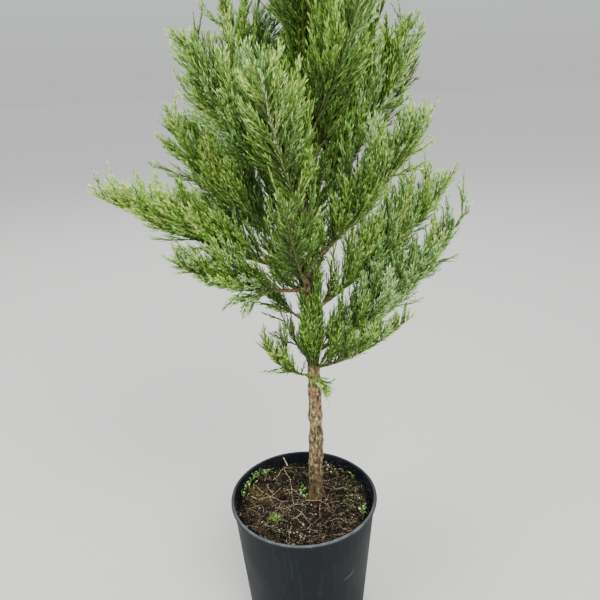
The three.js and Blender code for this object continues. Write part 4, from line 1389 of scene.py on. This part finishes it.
# %% The mix's surface
def soil_top(x, y):
    """The height of the mix's surface, lumps and all."""
    away = np.minimum(1, np.hypot(x - TRUNK_FOOT[0], y - TRUNK_FOOT[1]) / 30)
    waves = np.sin(x * 0.11 + 1.3) * np.cos(y * 0.13) + 0.6 * np.sin(x * 0.05 - y * 0.09)
    flat = np.stack([x, y, 0 * x], -1)
    lumps = 1.7 * noise(flat / 9, 11) + 1.3 * np.abs(noise(flat / 4.2, 12)) + 0.7 * noise(flat / 1.9, 13)
    # watering has banked it up against the wall at the back and the sides
    bank = 5.5 * np.clip((np.hypot(x, y) - 50) / 30, 0, 1) ** 1.5 * np.clip(0.55 + y / 100, 0, 1)
    sunk = 1.5 * np.clip((np.hypot(x, y) - 76) / 7, 0, 1)
    return SOIL_HEIGHT + 2.2 * away * away * (waves - 0.4) + lumps * (0.25 + 0.75 * away) + bank - sunk


SOIL_SIDES, SOIL_RINGS = 300, 112
SOIL_EDGE = inside_radius(SOIL_HEIGHT) - 0.25
SOIL_UNDERSIDE = 1.9
# the mix's side and its underside: radius and height
SIDE_RINGS = [(inside_radius(150) - 0.3, 150), (inside_radius(4) - 0.6, 4.0), (60.0, SOIL_UNDERSIDE)]
round_the_mix = np.stack([np.cos(full_turn(SOIL_SIDES)), np.sin(full_turn(SOIL_SIDES))], 1)
surface = SOIL_EDGE * (np.arange(1, SOIL_RINGS + 1) / SOIL_RINGS)[:, None, None] * round_the_mix
surface = np.dstack([surface, soil_top(surface[..., 0], surface[..., 1])])
sides = [np.column_stack([radius * round_the_mix, np.full(SOIL_SIDES, z)]) for radius, z in SIDE_RINGS]
middle_height = soil_top(np.zeros(1), np.zeros(1))[0]
mix_net = closed_rings(
    np.concatenate([surface, sides]), [0, 0, middle_height], [0, 0, SOIL_UNDERSIDE], turned_over=True
)

damp_mix, tree, shader = new_finish(
    "damp_bark_and_peat_mix", {"Roughness": 0.9, "Specular IOR Level": 0.15}
)
at = {"Vector": add(tree, "TexCoord").outputs["Object"]}
# grains of 1 to 3 mm; the near-black ones are dark damp peat and also painted shade in the gaps between
# crumbs
grains = add(tree, "TexNoise", {"Scale": 480.0, "Detail": 5.0, "Roughness": 0.7}, at)
grain_and_gap_shade_tone = add(
    tree, "ValToRGB", None, {"Fac": grains.outputs["Fac"]},
    [(0.38, "#020101"), (0.54, "#080604"), (0.64, "#16110b"), (0.74, "#4a4232")],
)
patches = add(tree, "TexNoise", {"Scale": 38.0, "Detail": 2.0}, at)
algae = add(
    tree, "MapRange", {"From Min": 0.5, "From Max": 0.7, "To Max": 0.5}, {"Value": patches.outputs["Fac"]}
)
mossed = add(
    tree, "Mix", {MIX_B: linear("#222716")},
    {MIX_FACTOR: algae.outputs["Result"], MIX_A: grain_and_gap_shade_tone.outputs["Color"]}, data_type="RGBA",
)
tree.links.new(mossed.outputs[MIX_COLOUR], shader.inputs["Base Color"])
grit = add(tree, "Bump", {"Strength": 0.7, "Distance": 0.0012}, {"Height": grains.outputs["Fac"]})
tree.links.new(grit.outputs["Normal"], shader.inputs["Normal"])
piece("mix_surface", *mix_net, damp_mix, "potting_mix", ["potting_mix"], smooth=True)


# %% [markdown]
# ## Crumbs and chips
# Each crumb is a lump of six points pulled out of true, with eight faces, sunk a little in the mix. They
# are dealt to a few plain colours: peat, bark, dry bark, pale wood, red bark flakes and grey chaff. What
# lies near the wall is moved in until the wall is clear of it.

# %% Plain litter finishes
def litter(name, colour, rough=0.9):
    stops = [(0.35, shaded(colour, 0.62)), (0.65, shaded(colour, 1.2))]
    sockets = {"Roughness": rough, "Specular IOR Level": 0.2}
    return mottled(name, scale=520.0, detail=3.0, stops=stops, sockets=sockets)


LITTER = {
    "peat": litter("peat_crumb", "#0b0805"),
    "bark": litter("composted_bark_crumb", "#2b2117"),
    "dry_bark": litter("dry_bark_chip", "#62543d"),
    "pale_wood": litter("pale_wood_chip", "#a79b80"),
    "red_bark": litter("red_bark_flake", "#5d3a28"),
    "grey_chaff": litter("grey_chaff", "#66624b"),
    "golden_fibre": litter("golden_fibre", "#64502c"),
}

# %% Crumbs set down on the mix
CRUMB = np.array([[1, 0, 0], [0, 1, 0], [-1, 0, 0], [0, -1, 0], [0, 0, 1], [0, 0, -1]], float)
CRUMB_FACES = np.array(
    [[0, 1, 4], [1, 2, 4], [2, 3, 4], [3, 0, 4], [1, 0, 5], [2, 1, 5], [3, 2, 5], [0, 3, 5]]
)


CLEAR_OF_TRUNK = 13


def on_mix(count, inner=0.0, outer=80.0):
    """Seeded places spread evenly over the mix, clear of the trunk."""
    spots = np.zeros((0, 2))
    while len(spots) < count:
        r = np.sqrt(rng.uniform(inner**2, outer**2, count * 2))
        a = rng.uniform(0, 2 * np.pi, count * 2)
        tried = np.stack([r * np.cos(a), r * np.sin(a)], 1)
        clear = np.hypot(*(tried - TRUNK_FOOT[:2]).T) > CLEAR_OF_TRUNK
        spots = np.concatenate([spots, tried[clear]])
    return spots[:count]


def within(spots, radius):
    """Places (x, y), each moved in to a radius at most."""
    return spots * np.minimum(1, radius / np.maximum(np.hypot(*spots.T), 1))[:, None]


def inside_wall(groups, gap=0.15):
    """Groups of points, each moved in as a whole until the pot's wall is clear of it."""
    past = np.hypot(groups[..., 0], groups[..., 1]) + gap - inside_radius(groups[..., 2])
    middle = groups.mean(1)[:, :2]
    moved = groups.copy()
    moved[..., :2] -= (unit(middle) * np.maximum(0, past.max(1))[:, None])[:, None]
    return moved


def crumbs(spots, small, large, flat):
    """The six points of each lump at spots, between two sizes in mm."""
    n = len(spots)
    size = small * (large / small) ** rng.random(n)
    lumps = CRUMB + rng.normal(0, 0.28, (n, 6, 3))
    lumps *= (size[:, None] / 2 * rng.uniform(0.6, 1.3, (n, 3)) * np.array([1, 1, flat]))[:, None]
    turn, tip = rng.uniform(0, ALL_ROUND, (n, 1)), rng.normal(0, 0.35, (n, 1))
    x, y, z = lumps[..., 0], lumps[..., 1], lumps[..., 2]
    x, z = x * np.cos(tip) - z * np.sin(tip), x * np.sin(tip) + z * np.cos(tip)
    x, y = x * np.cos(turn) - y * np.sin(turn), x * np.sin(turn) + y * np.cos(turn)
    height = soil_top(spots[:, 0], spots[:, 1]) + size * flat * 0.12
    return np.stack([x + spots[:, :1], y + spots[:, 1:], z + height[:, None]], 2)


# kind, count, smallest and largest in mm, and how flat
CRUMB_KINDS = [
    ("peat", 900, 1.2, 5.0, 0.8), ("bark", 1100, 1.2, 6.0, 0.6), ("dry_bark", 420, 1.0, 5.0, 0.45),
    ("pale_wood", 110, 1.0, 4.2, 0.4), ("red_bark", 120, 1.2, 4.5, 0.4), ("grey_chaff", 300, 0.8, 2.6, 0.4),
]
# small heaps that the picture shows: x, y, spread and count
HEAPS = {
    "pale_wood": [(-3, -53, 11, 30), (34, 66, 4, 14)], "red_bark": [(17, -54, 7, 24)],
    "dry_bark": [(30, 68, 6, 16)],
}
CRUMBS_WITHIN = 79
for kind, count, small, large, flat in CRUMB_KINDS:
    heaps = [np.array([x, y]) + rng.normal(0, spread, (n, 2)) for x, y, spread, n in HEAPS.get(kind, ())]
    spots = within(np.concatenate([on_mix(count), *heaps]), CRUMBS_WITHIN)
    lumps = inside_wall(crumbs(spots, small, large, flat))
    piece("crumbs_" + kind, *repeated(lumps, CRUMB_FACES), LITTER[kind], "potting_mix")

# specks of mix that watering has splashed on the inside of the wall
for kind, count in (("peat", 260), ("dry_bark", 240), ("grey_chaff", 200)):
    turn = rng.uniform(0, ALL_ROUND, count)
    height = 159 + 13 * rng.random(count) ** 2
    out = inside_radius(height) - 0.1
    spots = np.stack([out * np.cos(turn), out * np.sin(turn)], 1)
    specks = crumbs(spots, small=0.5, large=1.6, flat=1.0)
    specks[..., 2] += (height - soil_top(*spots.T))[:, None]
    specks = inside_wall(specks, gap=-0.5)
    piece("splashed_" + kind, *repeated(specks, CRUMB_FACES), LITTER[kind], "potting_mix")

# %% [markdown]
# ## Litter and dead twigs
# Dry shoots that the tree has dropped lie across the mix, thin, forked and pale tan, with brown shed
# needles and roots between them. The large ones lie where they can be seen, and the rest are seeded.

# %% Strands that lie on the mix
def lying(lines, radii, sides=5, lifted=0.6):
    """Tubes through points that are laid on the mix, one for each line of (x, y) places."""
    all_points, quads, caps, base = [], [], [], 0
    for line, radius in zip(lines, radii):
        line = np.array(line, float)
        steps = np.concatenate([[0], np.cumsum(np.linalg.norm(np.diff(line, axis=0), axis=1))])
        rings = max(3, int(steps[-1] / 2.2) + 1)
        at = np.linspace(0, steps[-1], rings)
        x, y = np.interp(at, steps, line[:, 0]), np.interp(at, steps, line[:, 1])
        bent = noise(np.stack([x / 9, y / 9, 0 * x + radius * 90], 1), 21)[:, None] * 0.5
        z = soil_top(x, y)
        z = np.maximum(z, np.convolve(np.pad(z, 2, "edge"), np.ones(5) / 5, "valid")) + lifted + radius
        middle = np.stack([x, y, z], 1)
        middle[:, :2] += bent
        # what reaches the wall turns along it
        middle[:, :2] = within(middle[:, :2], inside_radius(z) - radius - 0.5)
        way = unit(np.gradient(middle, axis=0))
        across = unit(np.cross(way, UP))
        over = np.cross(across, way)
        turn = full_turn(sides)[:, None]
        thick = radius * np.linspace(1, 0.45, rings)[:, None, None]
        thick = thick * (1 + 0.2 * noise(middle / 2, 22))[:, None, None]
        ring = across[:, None] * np.cos(turn) + over[:, None] * np.sin(turn)
        all_points.append((middle[:, None] + ring * thick).reshape(-1, 3))
        quads.append(base + joined(rings, sides))
        for first, order in ((0, 1), ((rings - 1) * sides, -1)):
            i = np.arange(1, sides - 1)
            ends = np.stack([np.zeros_like(i), i + 1, i], 1)[:, ::order]
            caps.append(base + first + ends)
        base += rings * sides
    return np.concatenate(all_points), [np.concatenate(quads), np.concatenate(caps)]


TWIGS = [  # places in mm across the mix, and radius
    ([(-60.4, 35.3), (-43.5, 19.8), (-29.2, 8.6), (-19.7, 10.8)], 1.1),
    ([(-66.4, 16.1), (-57.7, 10.1)], 1.2),
    ([(-66.4, 16.1), (-54.1, 13.6), (-37.8, 21.4), (-27.8, 32.6)], 0.9),
    ([(-25.4, 65.5), (-17.3, 50.3), (-15.3, 24.0), (-13.4, 4.8), (-22.1, -7.5)], 1.0),
    ([(-15.3, 31.9), (-4.4, 17.7)], 0.8),
    ([(-13.4, 4.8), (-3.4, 0.6), (3.0, -8.0)], 0.7),
    ([(1.8, 7.8), (20.7, 6.8), (27.8, -1.0), (35.3, -12.2)], 0.9),
    ([(26.2, 4.7), (31.1, 13.9)], 0.7),
    ([(-14.0, -27.2), (-3.1, -14.8), (9.2, -36.0)], 0.8),
    ([(19.3, 3.1), (18.6, -11.4), (18.7, -37.3)], 0.8),
    ([(-39.8, 49.6), (-25.4, 67.8), (-9.2, 72.5), (3.2, 72.6)], 0.8),
    ([(-43.5, 19.8), (-40.0, 8.0), (-34.0, 2.0)], 0.7),
    ([(-29.2, 8.6), (-33.0, -6.0), (-41.0, -12.0)], 0.7),
    ([(-37.8, 21.4), (-46.0, 32.0), (-47.0, 44.0)], 0.7),
    ([(37.3, 29.0), (48.0, 31.0), (55.1, 26.1)], 0.8),
    ([(46.3, 63.7), (56.0, 66.4)], 0.7),
    ([(-17.3, 50.3), (-30.0, 44.0), (-40.0, 46.0)], 0.6),
    ([(-15.3, 24.0), (-24.0, 20.0), (-30.0, 24.0)], 0.6),
    ([(30.0, -30.0), (42.0, -24.0), (52.0, -31.0)], 0.6),
    ([(20.0, 50.0), (30.0, 47.0), (44.0, 50.0)], 0.6),
    ([(-50.0, -22.0), (-42.0, -34.0), (-30.0, -38.0)], 0.6),
]


def strands(count, short, long, middle=None, spread=0.0):
    """Seeded bent strands of litter between two lengths, all over the mix or round one place."""
    spots = on_mix(count, outer=74) if middle is None else middle + rng.normal(0, spread, (count, 2))
    lines = []
    for (x, y), turn, size, bend in zip(
        spots, rng.uniform(0, ALL_ROUND, count), rng.uniform(short, long, count), rng.normal(0, 0.4, count)
    ):
        a = np.array([math.cos(turn), math.sin(turn)])
        b = np.array([math.cos(turn + bend), math.sin(turn + bend)])
        lines.append([np.array([x, y]) - a * size / 2, (x, y), np.array([x, y]) + b * size / 2])
    return lines


twig_lines, twig_radii = zip(*TWIGS)
forks = strands(76, short=8, long=26)
all_radii = 0.55 * np.array([*twig_radii, *rng.uniform(0.25, 0.6, len(forks))])
dead_twig = litter("weathered_dead_twig", "#93826a")
piece("dead_twigs", *lying([*twig_lines, *forks], all_radii), dead_twig, "potting_mix", smooth=True)
for kind, count, short, long, thick in (
    ("bark", 420, 4, 12, 0.34), ("dry_bark", 700, 3, 11, 0.27), ("grey_chaff", 600, 3, 8, 0.24),
    ("pale_wood", 160, 2, 8, 0.28), ("red_bark", 120, 2, 7, 0.34),
):
    lines = strands(count, short, long)
    laid = lying(lines, rng.uniform(0.6, 1.2, count) * thick, sides=3, lifted=0.2)
    piece("strands_" + kind, *laid, LITTER[kind], "potting_mix")
GOLDEN_FIBRES, GOLDEN_PLACE = 120, np.array([-56.0, 20.0])
lines = strands(GOLDEN_FIBRES, short=4, long=13, middle=GOLDEN_PLACE, spread=8.0)
laid = lying(lines, rng.uniform(0.2, 0.38, GOLDEN_FIBRES), sides=3, lifted=0.4)
piece("strands_golden_fibre", *laid, LITTER["golden_fibre"], "potting_mix")

# one peeled stick stands in the mix and leans on the wall at the back
lean_foot = np.array([-19.0, 71.0, 159.0])
lean_top = np.array([*(unit(np.array([-26.0, 78.0])) * (inside_radius(173.0) - 0.9)), 173.0])
stick = np.stack([lean_foot, (lean_foot + lean_top) / 2 + [0.5, 0, 0.3], lean_top])[None]
stick_tube = like_tubes(stick, [0, 0.3, 0.6, 0.8, 1.0], [0.75, 0.85, 0.8, 0.7, 0.55], sides=7)
piece("leaning_stick", *stick_tube, litter("peeled_stick", "#c8bd98"), "potting_mix", smooth=True)

# %% [markdown]
# ## Small weeds and moss
# A few seedlings with round leaves have come up round the lip, and a few tufts of moss. Each leaf is a thin
# lens of a few faces on a short stalk.

# %% Seedling leaves
LEAF_SIDES = 8


def leaves(places, ways, sizes_mm, wide=0.72, cup=0.16):
    """Thin oval leaves from their foot, along a way, as points and faces."""
    ways = unit(ways)
    side = unit(np.cross(ways, UP + 0.01))
    face = np.cross(side, ways)
    turn = full_turn(LEAF_SIDES)[:, None]
    scale = sizes_mm[:, None, None]
    along = (0.5 - 0.5 * np.cos(turn)) * scale
    out = (np.sin(turn) * wide / 2) * scale
    rim = places[:, None] + ways[:, None] * along + side[:, None] * out
    rim = rim + face[:, None] * (cup * np.abs(np.sin(turn)) * scale)
    heart = places + ways * sizes_mm[:, None] * 0.5
    upper, lower = heart + face * 0.1, heart - face * 0.25
    points = inside_wall(np.concatenate([rim, upper[:, None], lower[:, None]], 1))
    fans = [fan(0, LEAF_SIDES, LEAF_SIDES), fan(0, LEAF_SIDES, LEAF_SIDES + 1, under=True)]
    return repeated(points, np.concatenate(fans))


def clump(x, y, count, spread, radius):
    """Seeded places round one, each within a radius of the pot's middle."""
    return within(np.array([x, y]) + rng.normal(0, spread * 0.5, (count, 2)), radius)


WEEDS_WITHIN, LEAF_TIPS_WITHIN, MOSS_WITHIN = 79, 82, 81
WEEDS = [  # x, y, leaves, spread, leaf size
    (-76, 30, 8, 6, 3.6), (-77, 16, 7, 5, 2.8), (-71, 38, 12, 7, 4.2), (-66, 50, 12, 7, 4.2),
    (-58, 58, 9, 7, 3.4), (-50, 62, 7, 5, 3.4), (-66, 30, 5, 4, 3.0), (-44, 67, 5, 5, 3.0),
    (0.2, 29, 7, 4, 4.4), (1.9, 14.3, 6, 3, 3.6), (-4, 22, 4, 3, 3.0), (69, -16, 8, 5, 4.6),
    (72, -9, 4, 3, 3.2), (36.7, 58, 5, 4, 3.2), (62, 44, 5, 5, 2.8), (-34, -27, 9, 5, 2.8),
    (-28, -44, 3, 3, 2.4), (60, 6, 5, 9, 1.8), (66, 24, 6, 8, 2.0),
]
feet_of_leaves, leaf_ways, leaf_sizes = [], [], []
for x, y, count, spread, size in WEEDS:
    spots = clump(x, y, count, spread, WEEDS_WITHIN)
    # those on the far left stand tallest
    tall = 10.0 if x < -50 else 5.5
    height = np.minimum(soil_top(spots[:, 0], spots[:, 1]) + rng.uniform(1.0, tall, count), 175)
    feet_of_leaves.append(np.column_stack([spots, height]))
    turn = rng.uniform(0, ALL_ROUND, count)
    leaf_ways.append(np.stack([np.cos(turn), np.sin(turn), rng.uniform(0.1, 0.7, count)], 1))
    leaf_sizes.append(size * rng.uniform(0.65, 1.2, count))
leaf_feet, leaf_ways, leaf_sizes = (np.concatenate(x) for x in (feet_of_leaves, leaf_ways, leaf_sizes))
inward = np.hypot(*(leaf_feet[:, :2] + leaf_ways[:, :2] * leaf_sizes[:, None]).T) < LEAF_TIPS_WITHIN
leaf_feet, leaf_ways, leaf_sizes = leaf_feet[inward], leaf_ways[inward], leaf_sizes[inward]
pale = np.arange(len(leaf_feet)) % 3 == 0
for name, finish, mine in (
    ("seedling_leaves", litter("seedling_leaf", "#64863f", 0.5), ~pale),
    ("seedling_leaves_pale", litter("pale_seedling_leaf", "#b3c78a", 0.5), pale),
):
    piece(name, *leaves(leaf_feet[mine], leaf_ways[mine], leaf_sizes[mine]), finish, "foliage")
stalk_feet = np.column_stack([leaf_feet[:, :2], soil_top(leaf_feet[:, 0], leaf_feet[:, 1]) - 0.6])
stalks = np.stack([stalk_feet, (stalk_feet + leaf_feet) / 2 + [0.3, 0.2, 0.4], leaf_feet + [0, 0, 0.1]], 1)
stalk_tubes = like_tubes(stalks, [0, 0.5, 1.0], [0.32, 0.28, 0.22], sides=4)
piece("seedling_stalks", *stalk_tubes, green_cord, "foliage")

# %% Moss tufts
MOSS = [  # x, y, blades, spread, blade size
    (-36, -20, 210, 6.5, 4.4), (-33, -28, 90, 5.5, 3.0), (64, 56, 60, 7, 3.0), (-58, 64, 70, 8, 3.6),
    (58, 8, 90, 12, 1.9), (50, 34, 90, 14, 1.9), (66, -4, 60, 8, 1.8), (-12, 62, 40, 7, 2.4),
]
BLADE_FOOT = 0.45
blade_roots, blade_ways, blade_sizes = [], [], []
for x, y, count, spread, size in MOSS:
    spots = clump(x, y, count, spread, MOSS_WITHIN)
    blade_roots.append(np.column_stack([spots, soil_top(spots[:, 0], spots[:, 1]) - 0.4]))
    lean_out = (spots - [x, y]) / spread
    lean_out = lean_out + rng.normal(0, 0.3, (count, 2))
    blade_ways.append(unit(np.column_stack([lean_out, np.full(count, 0.9)])))
    blade_sizes.append(size * rng.uniform(0.6, 1.3, count))
blade_roots, blade_ways, blade_sizes = (np.concatenate(x) for x in (blade_roots, blade_ways, blade_sizes))
side = unit(np.cross(blade_ways, UP + 0.01))
under = np.cross(side, blade_ways)
corners = [blade_roots + way * BLADE_FOOT for way in (side, -side, -under)]
blades = inside_wall(np.stack([*corners, blade_roots + blade_ways * blade_sizes[:, None]], 1))
bright = np.arange(len(blades)) % 2 == 0
AWL = np.array([[0, 1, 3], [1, 2, 3], [2, 0, 3], [0, 2, 1]])
for name, colour, mine in (("moss_bright", "#93a951", bright), ("moss_deep", "#4a6630", ~bright)):
    piece(name, *repeated(blades[mine], AWL), litter(name + "_blade", colour, 0.6), "foliage")

# %% [markdown]
# ## Floor and light
# The stage is plain: a pale matte floor and a pale sky for soft light all round. The sky is brighter high
# up, as under cloud, and fades to the floor's own tone at the horizon, so no line shows behind the tree.
# One broad light stands high on the right, as a cloudy day is brighter on one side, with weaker ones left
# and behind.

# %% The stage
FLOOR = 15000
floor_corners = [(-FLOOR, -FLOOR, 0), (FLOOR, -FLOOR, 0), (FLOOR, FLOOR, 0), (-FLOOR, FLOOR, 0)]
floor = put_in_scene("floor", mesh_from("floor", floor_corners, [np.arange(4)[None]]))
floor.data.shade_flat()
pale_floor, _, _ = new_finish("pale_matte_floor", {"Base Color": linear("#c9c8c4"), "Roughness": 0.9})
floor.data.materials.append(pale_floor)

world = bpy.data.worlds.new("soft_sky")
world.use_nodes = True
tree = world.node_tree
way = add(tree, "TexCoord")
height = add(tree, "SeparateXYZ", None, {"Vector": way.outputs["Generated"]})
sky = add(
    tree, "ValToRGB", None, {"Fac": height.outputs["Z"]},
    [(0.0, "#b9baba"), (0.1, "#c0c2c2"), (0.45, "#e4e8ea"), (1.0, "#f6fafc")],
)
tree.links.new(sky.outputs["Color"], tree.nodes["Background"].inputs["Color"])
SKY_STRENGTH = 1.3
tree.nodes["Background"].inputs["Strength"].default_value = SKY_STRENGTH
bpy.context.scene.world = world

MIDDLE = Vector((0.0, 0.0, 0.48))
LIGHTS = [  # name, place and size in m, and watts
    ("broad_light", (0.9, -1.6, 2.3), 1.4, 80),
    ("side_light", (-1.7, -1.0, 1.6), 1.3, 34),
    ("back_light", (-0.4, 1.8, 2.2), 1.4, 30),
]
for name, spot, size, watts in LIGHTS:
    lamp = bpy.data.lights.new(name, "AREA")
    lamp.size = size
    lamp.energy = watts
    holder = put_in_scene(name, lamp)
    holder.location = spot
    holder.rotation_euler = (Vector(spot) - MIDDLE).to_track_quat("Z", "Y").to_euler()

# %% [markdown]
# ## The imported model's size
# The dressed tree has to stay in the imported model's box.

# %% Printing the imported model's box
bpy.context.view_layer.update()
print("CAD box   ", [[round(x, 3) for x in c] for c in cad_box])
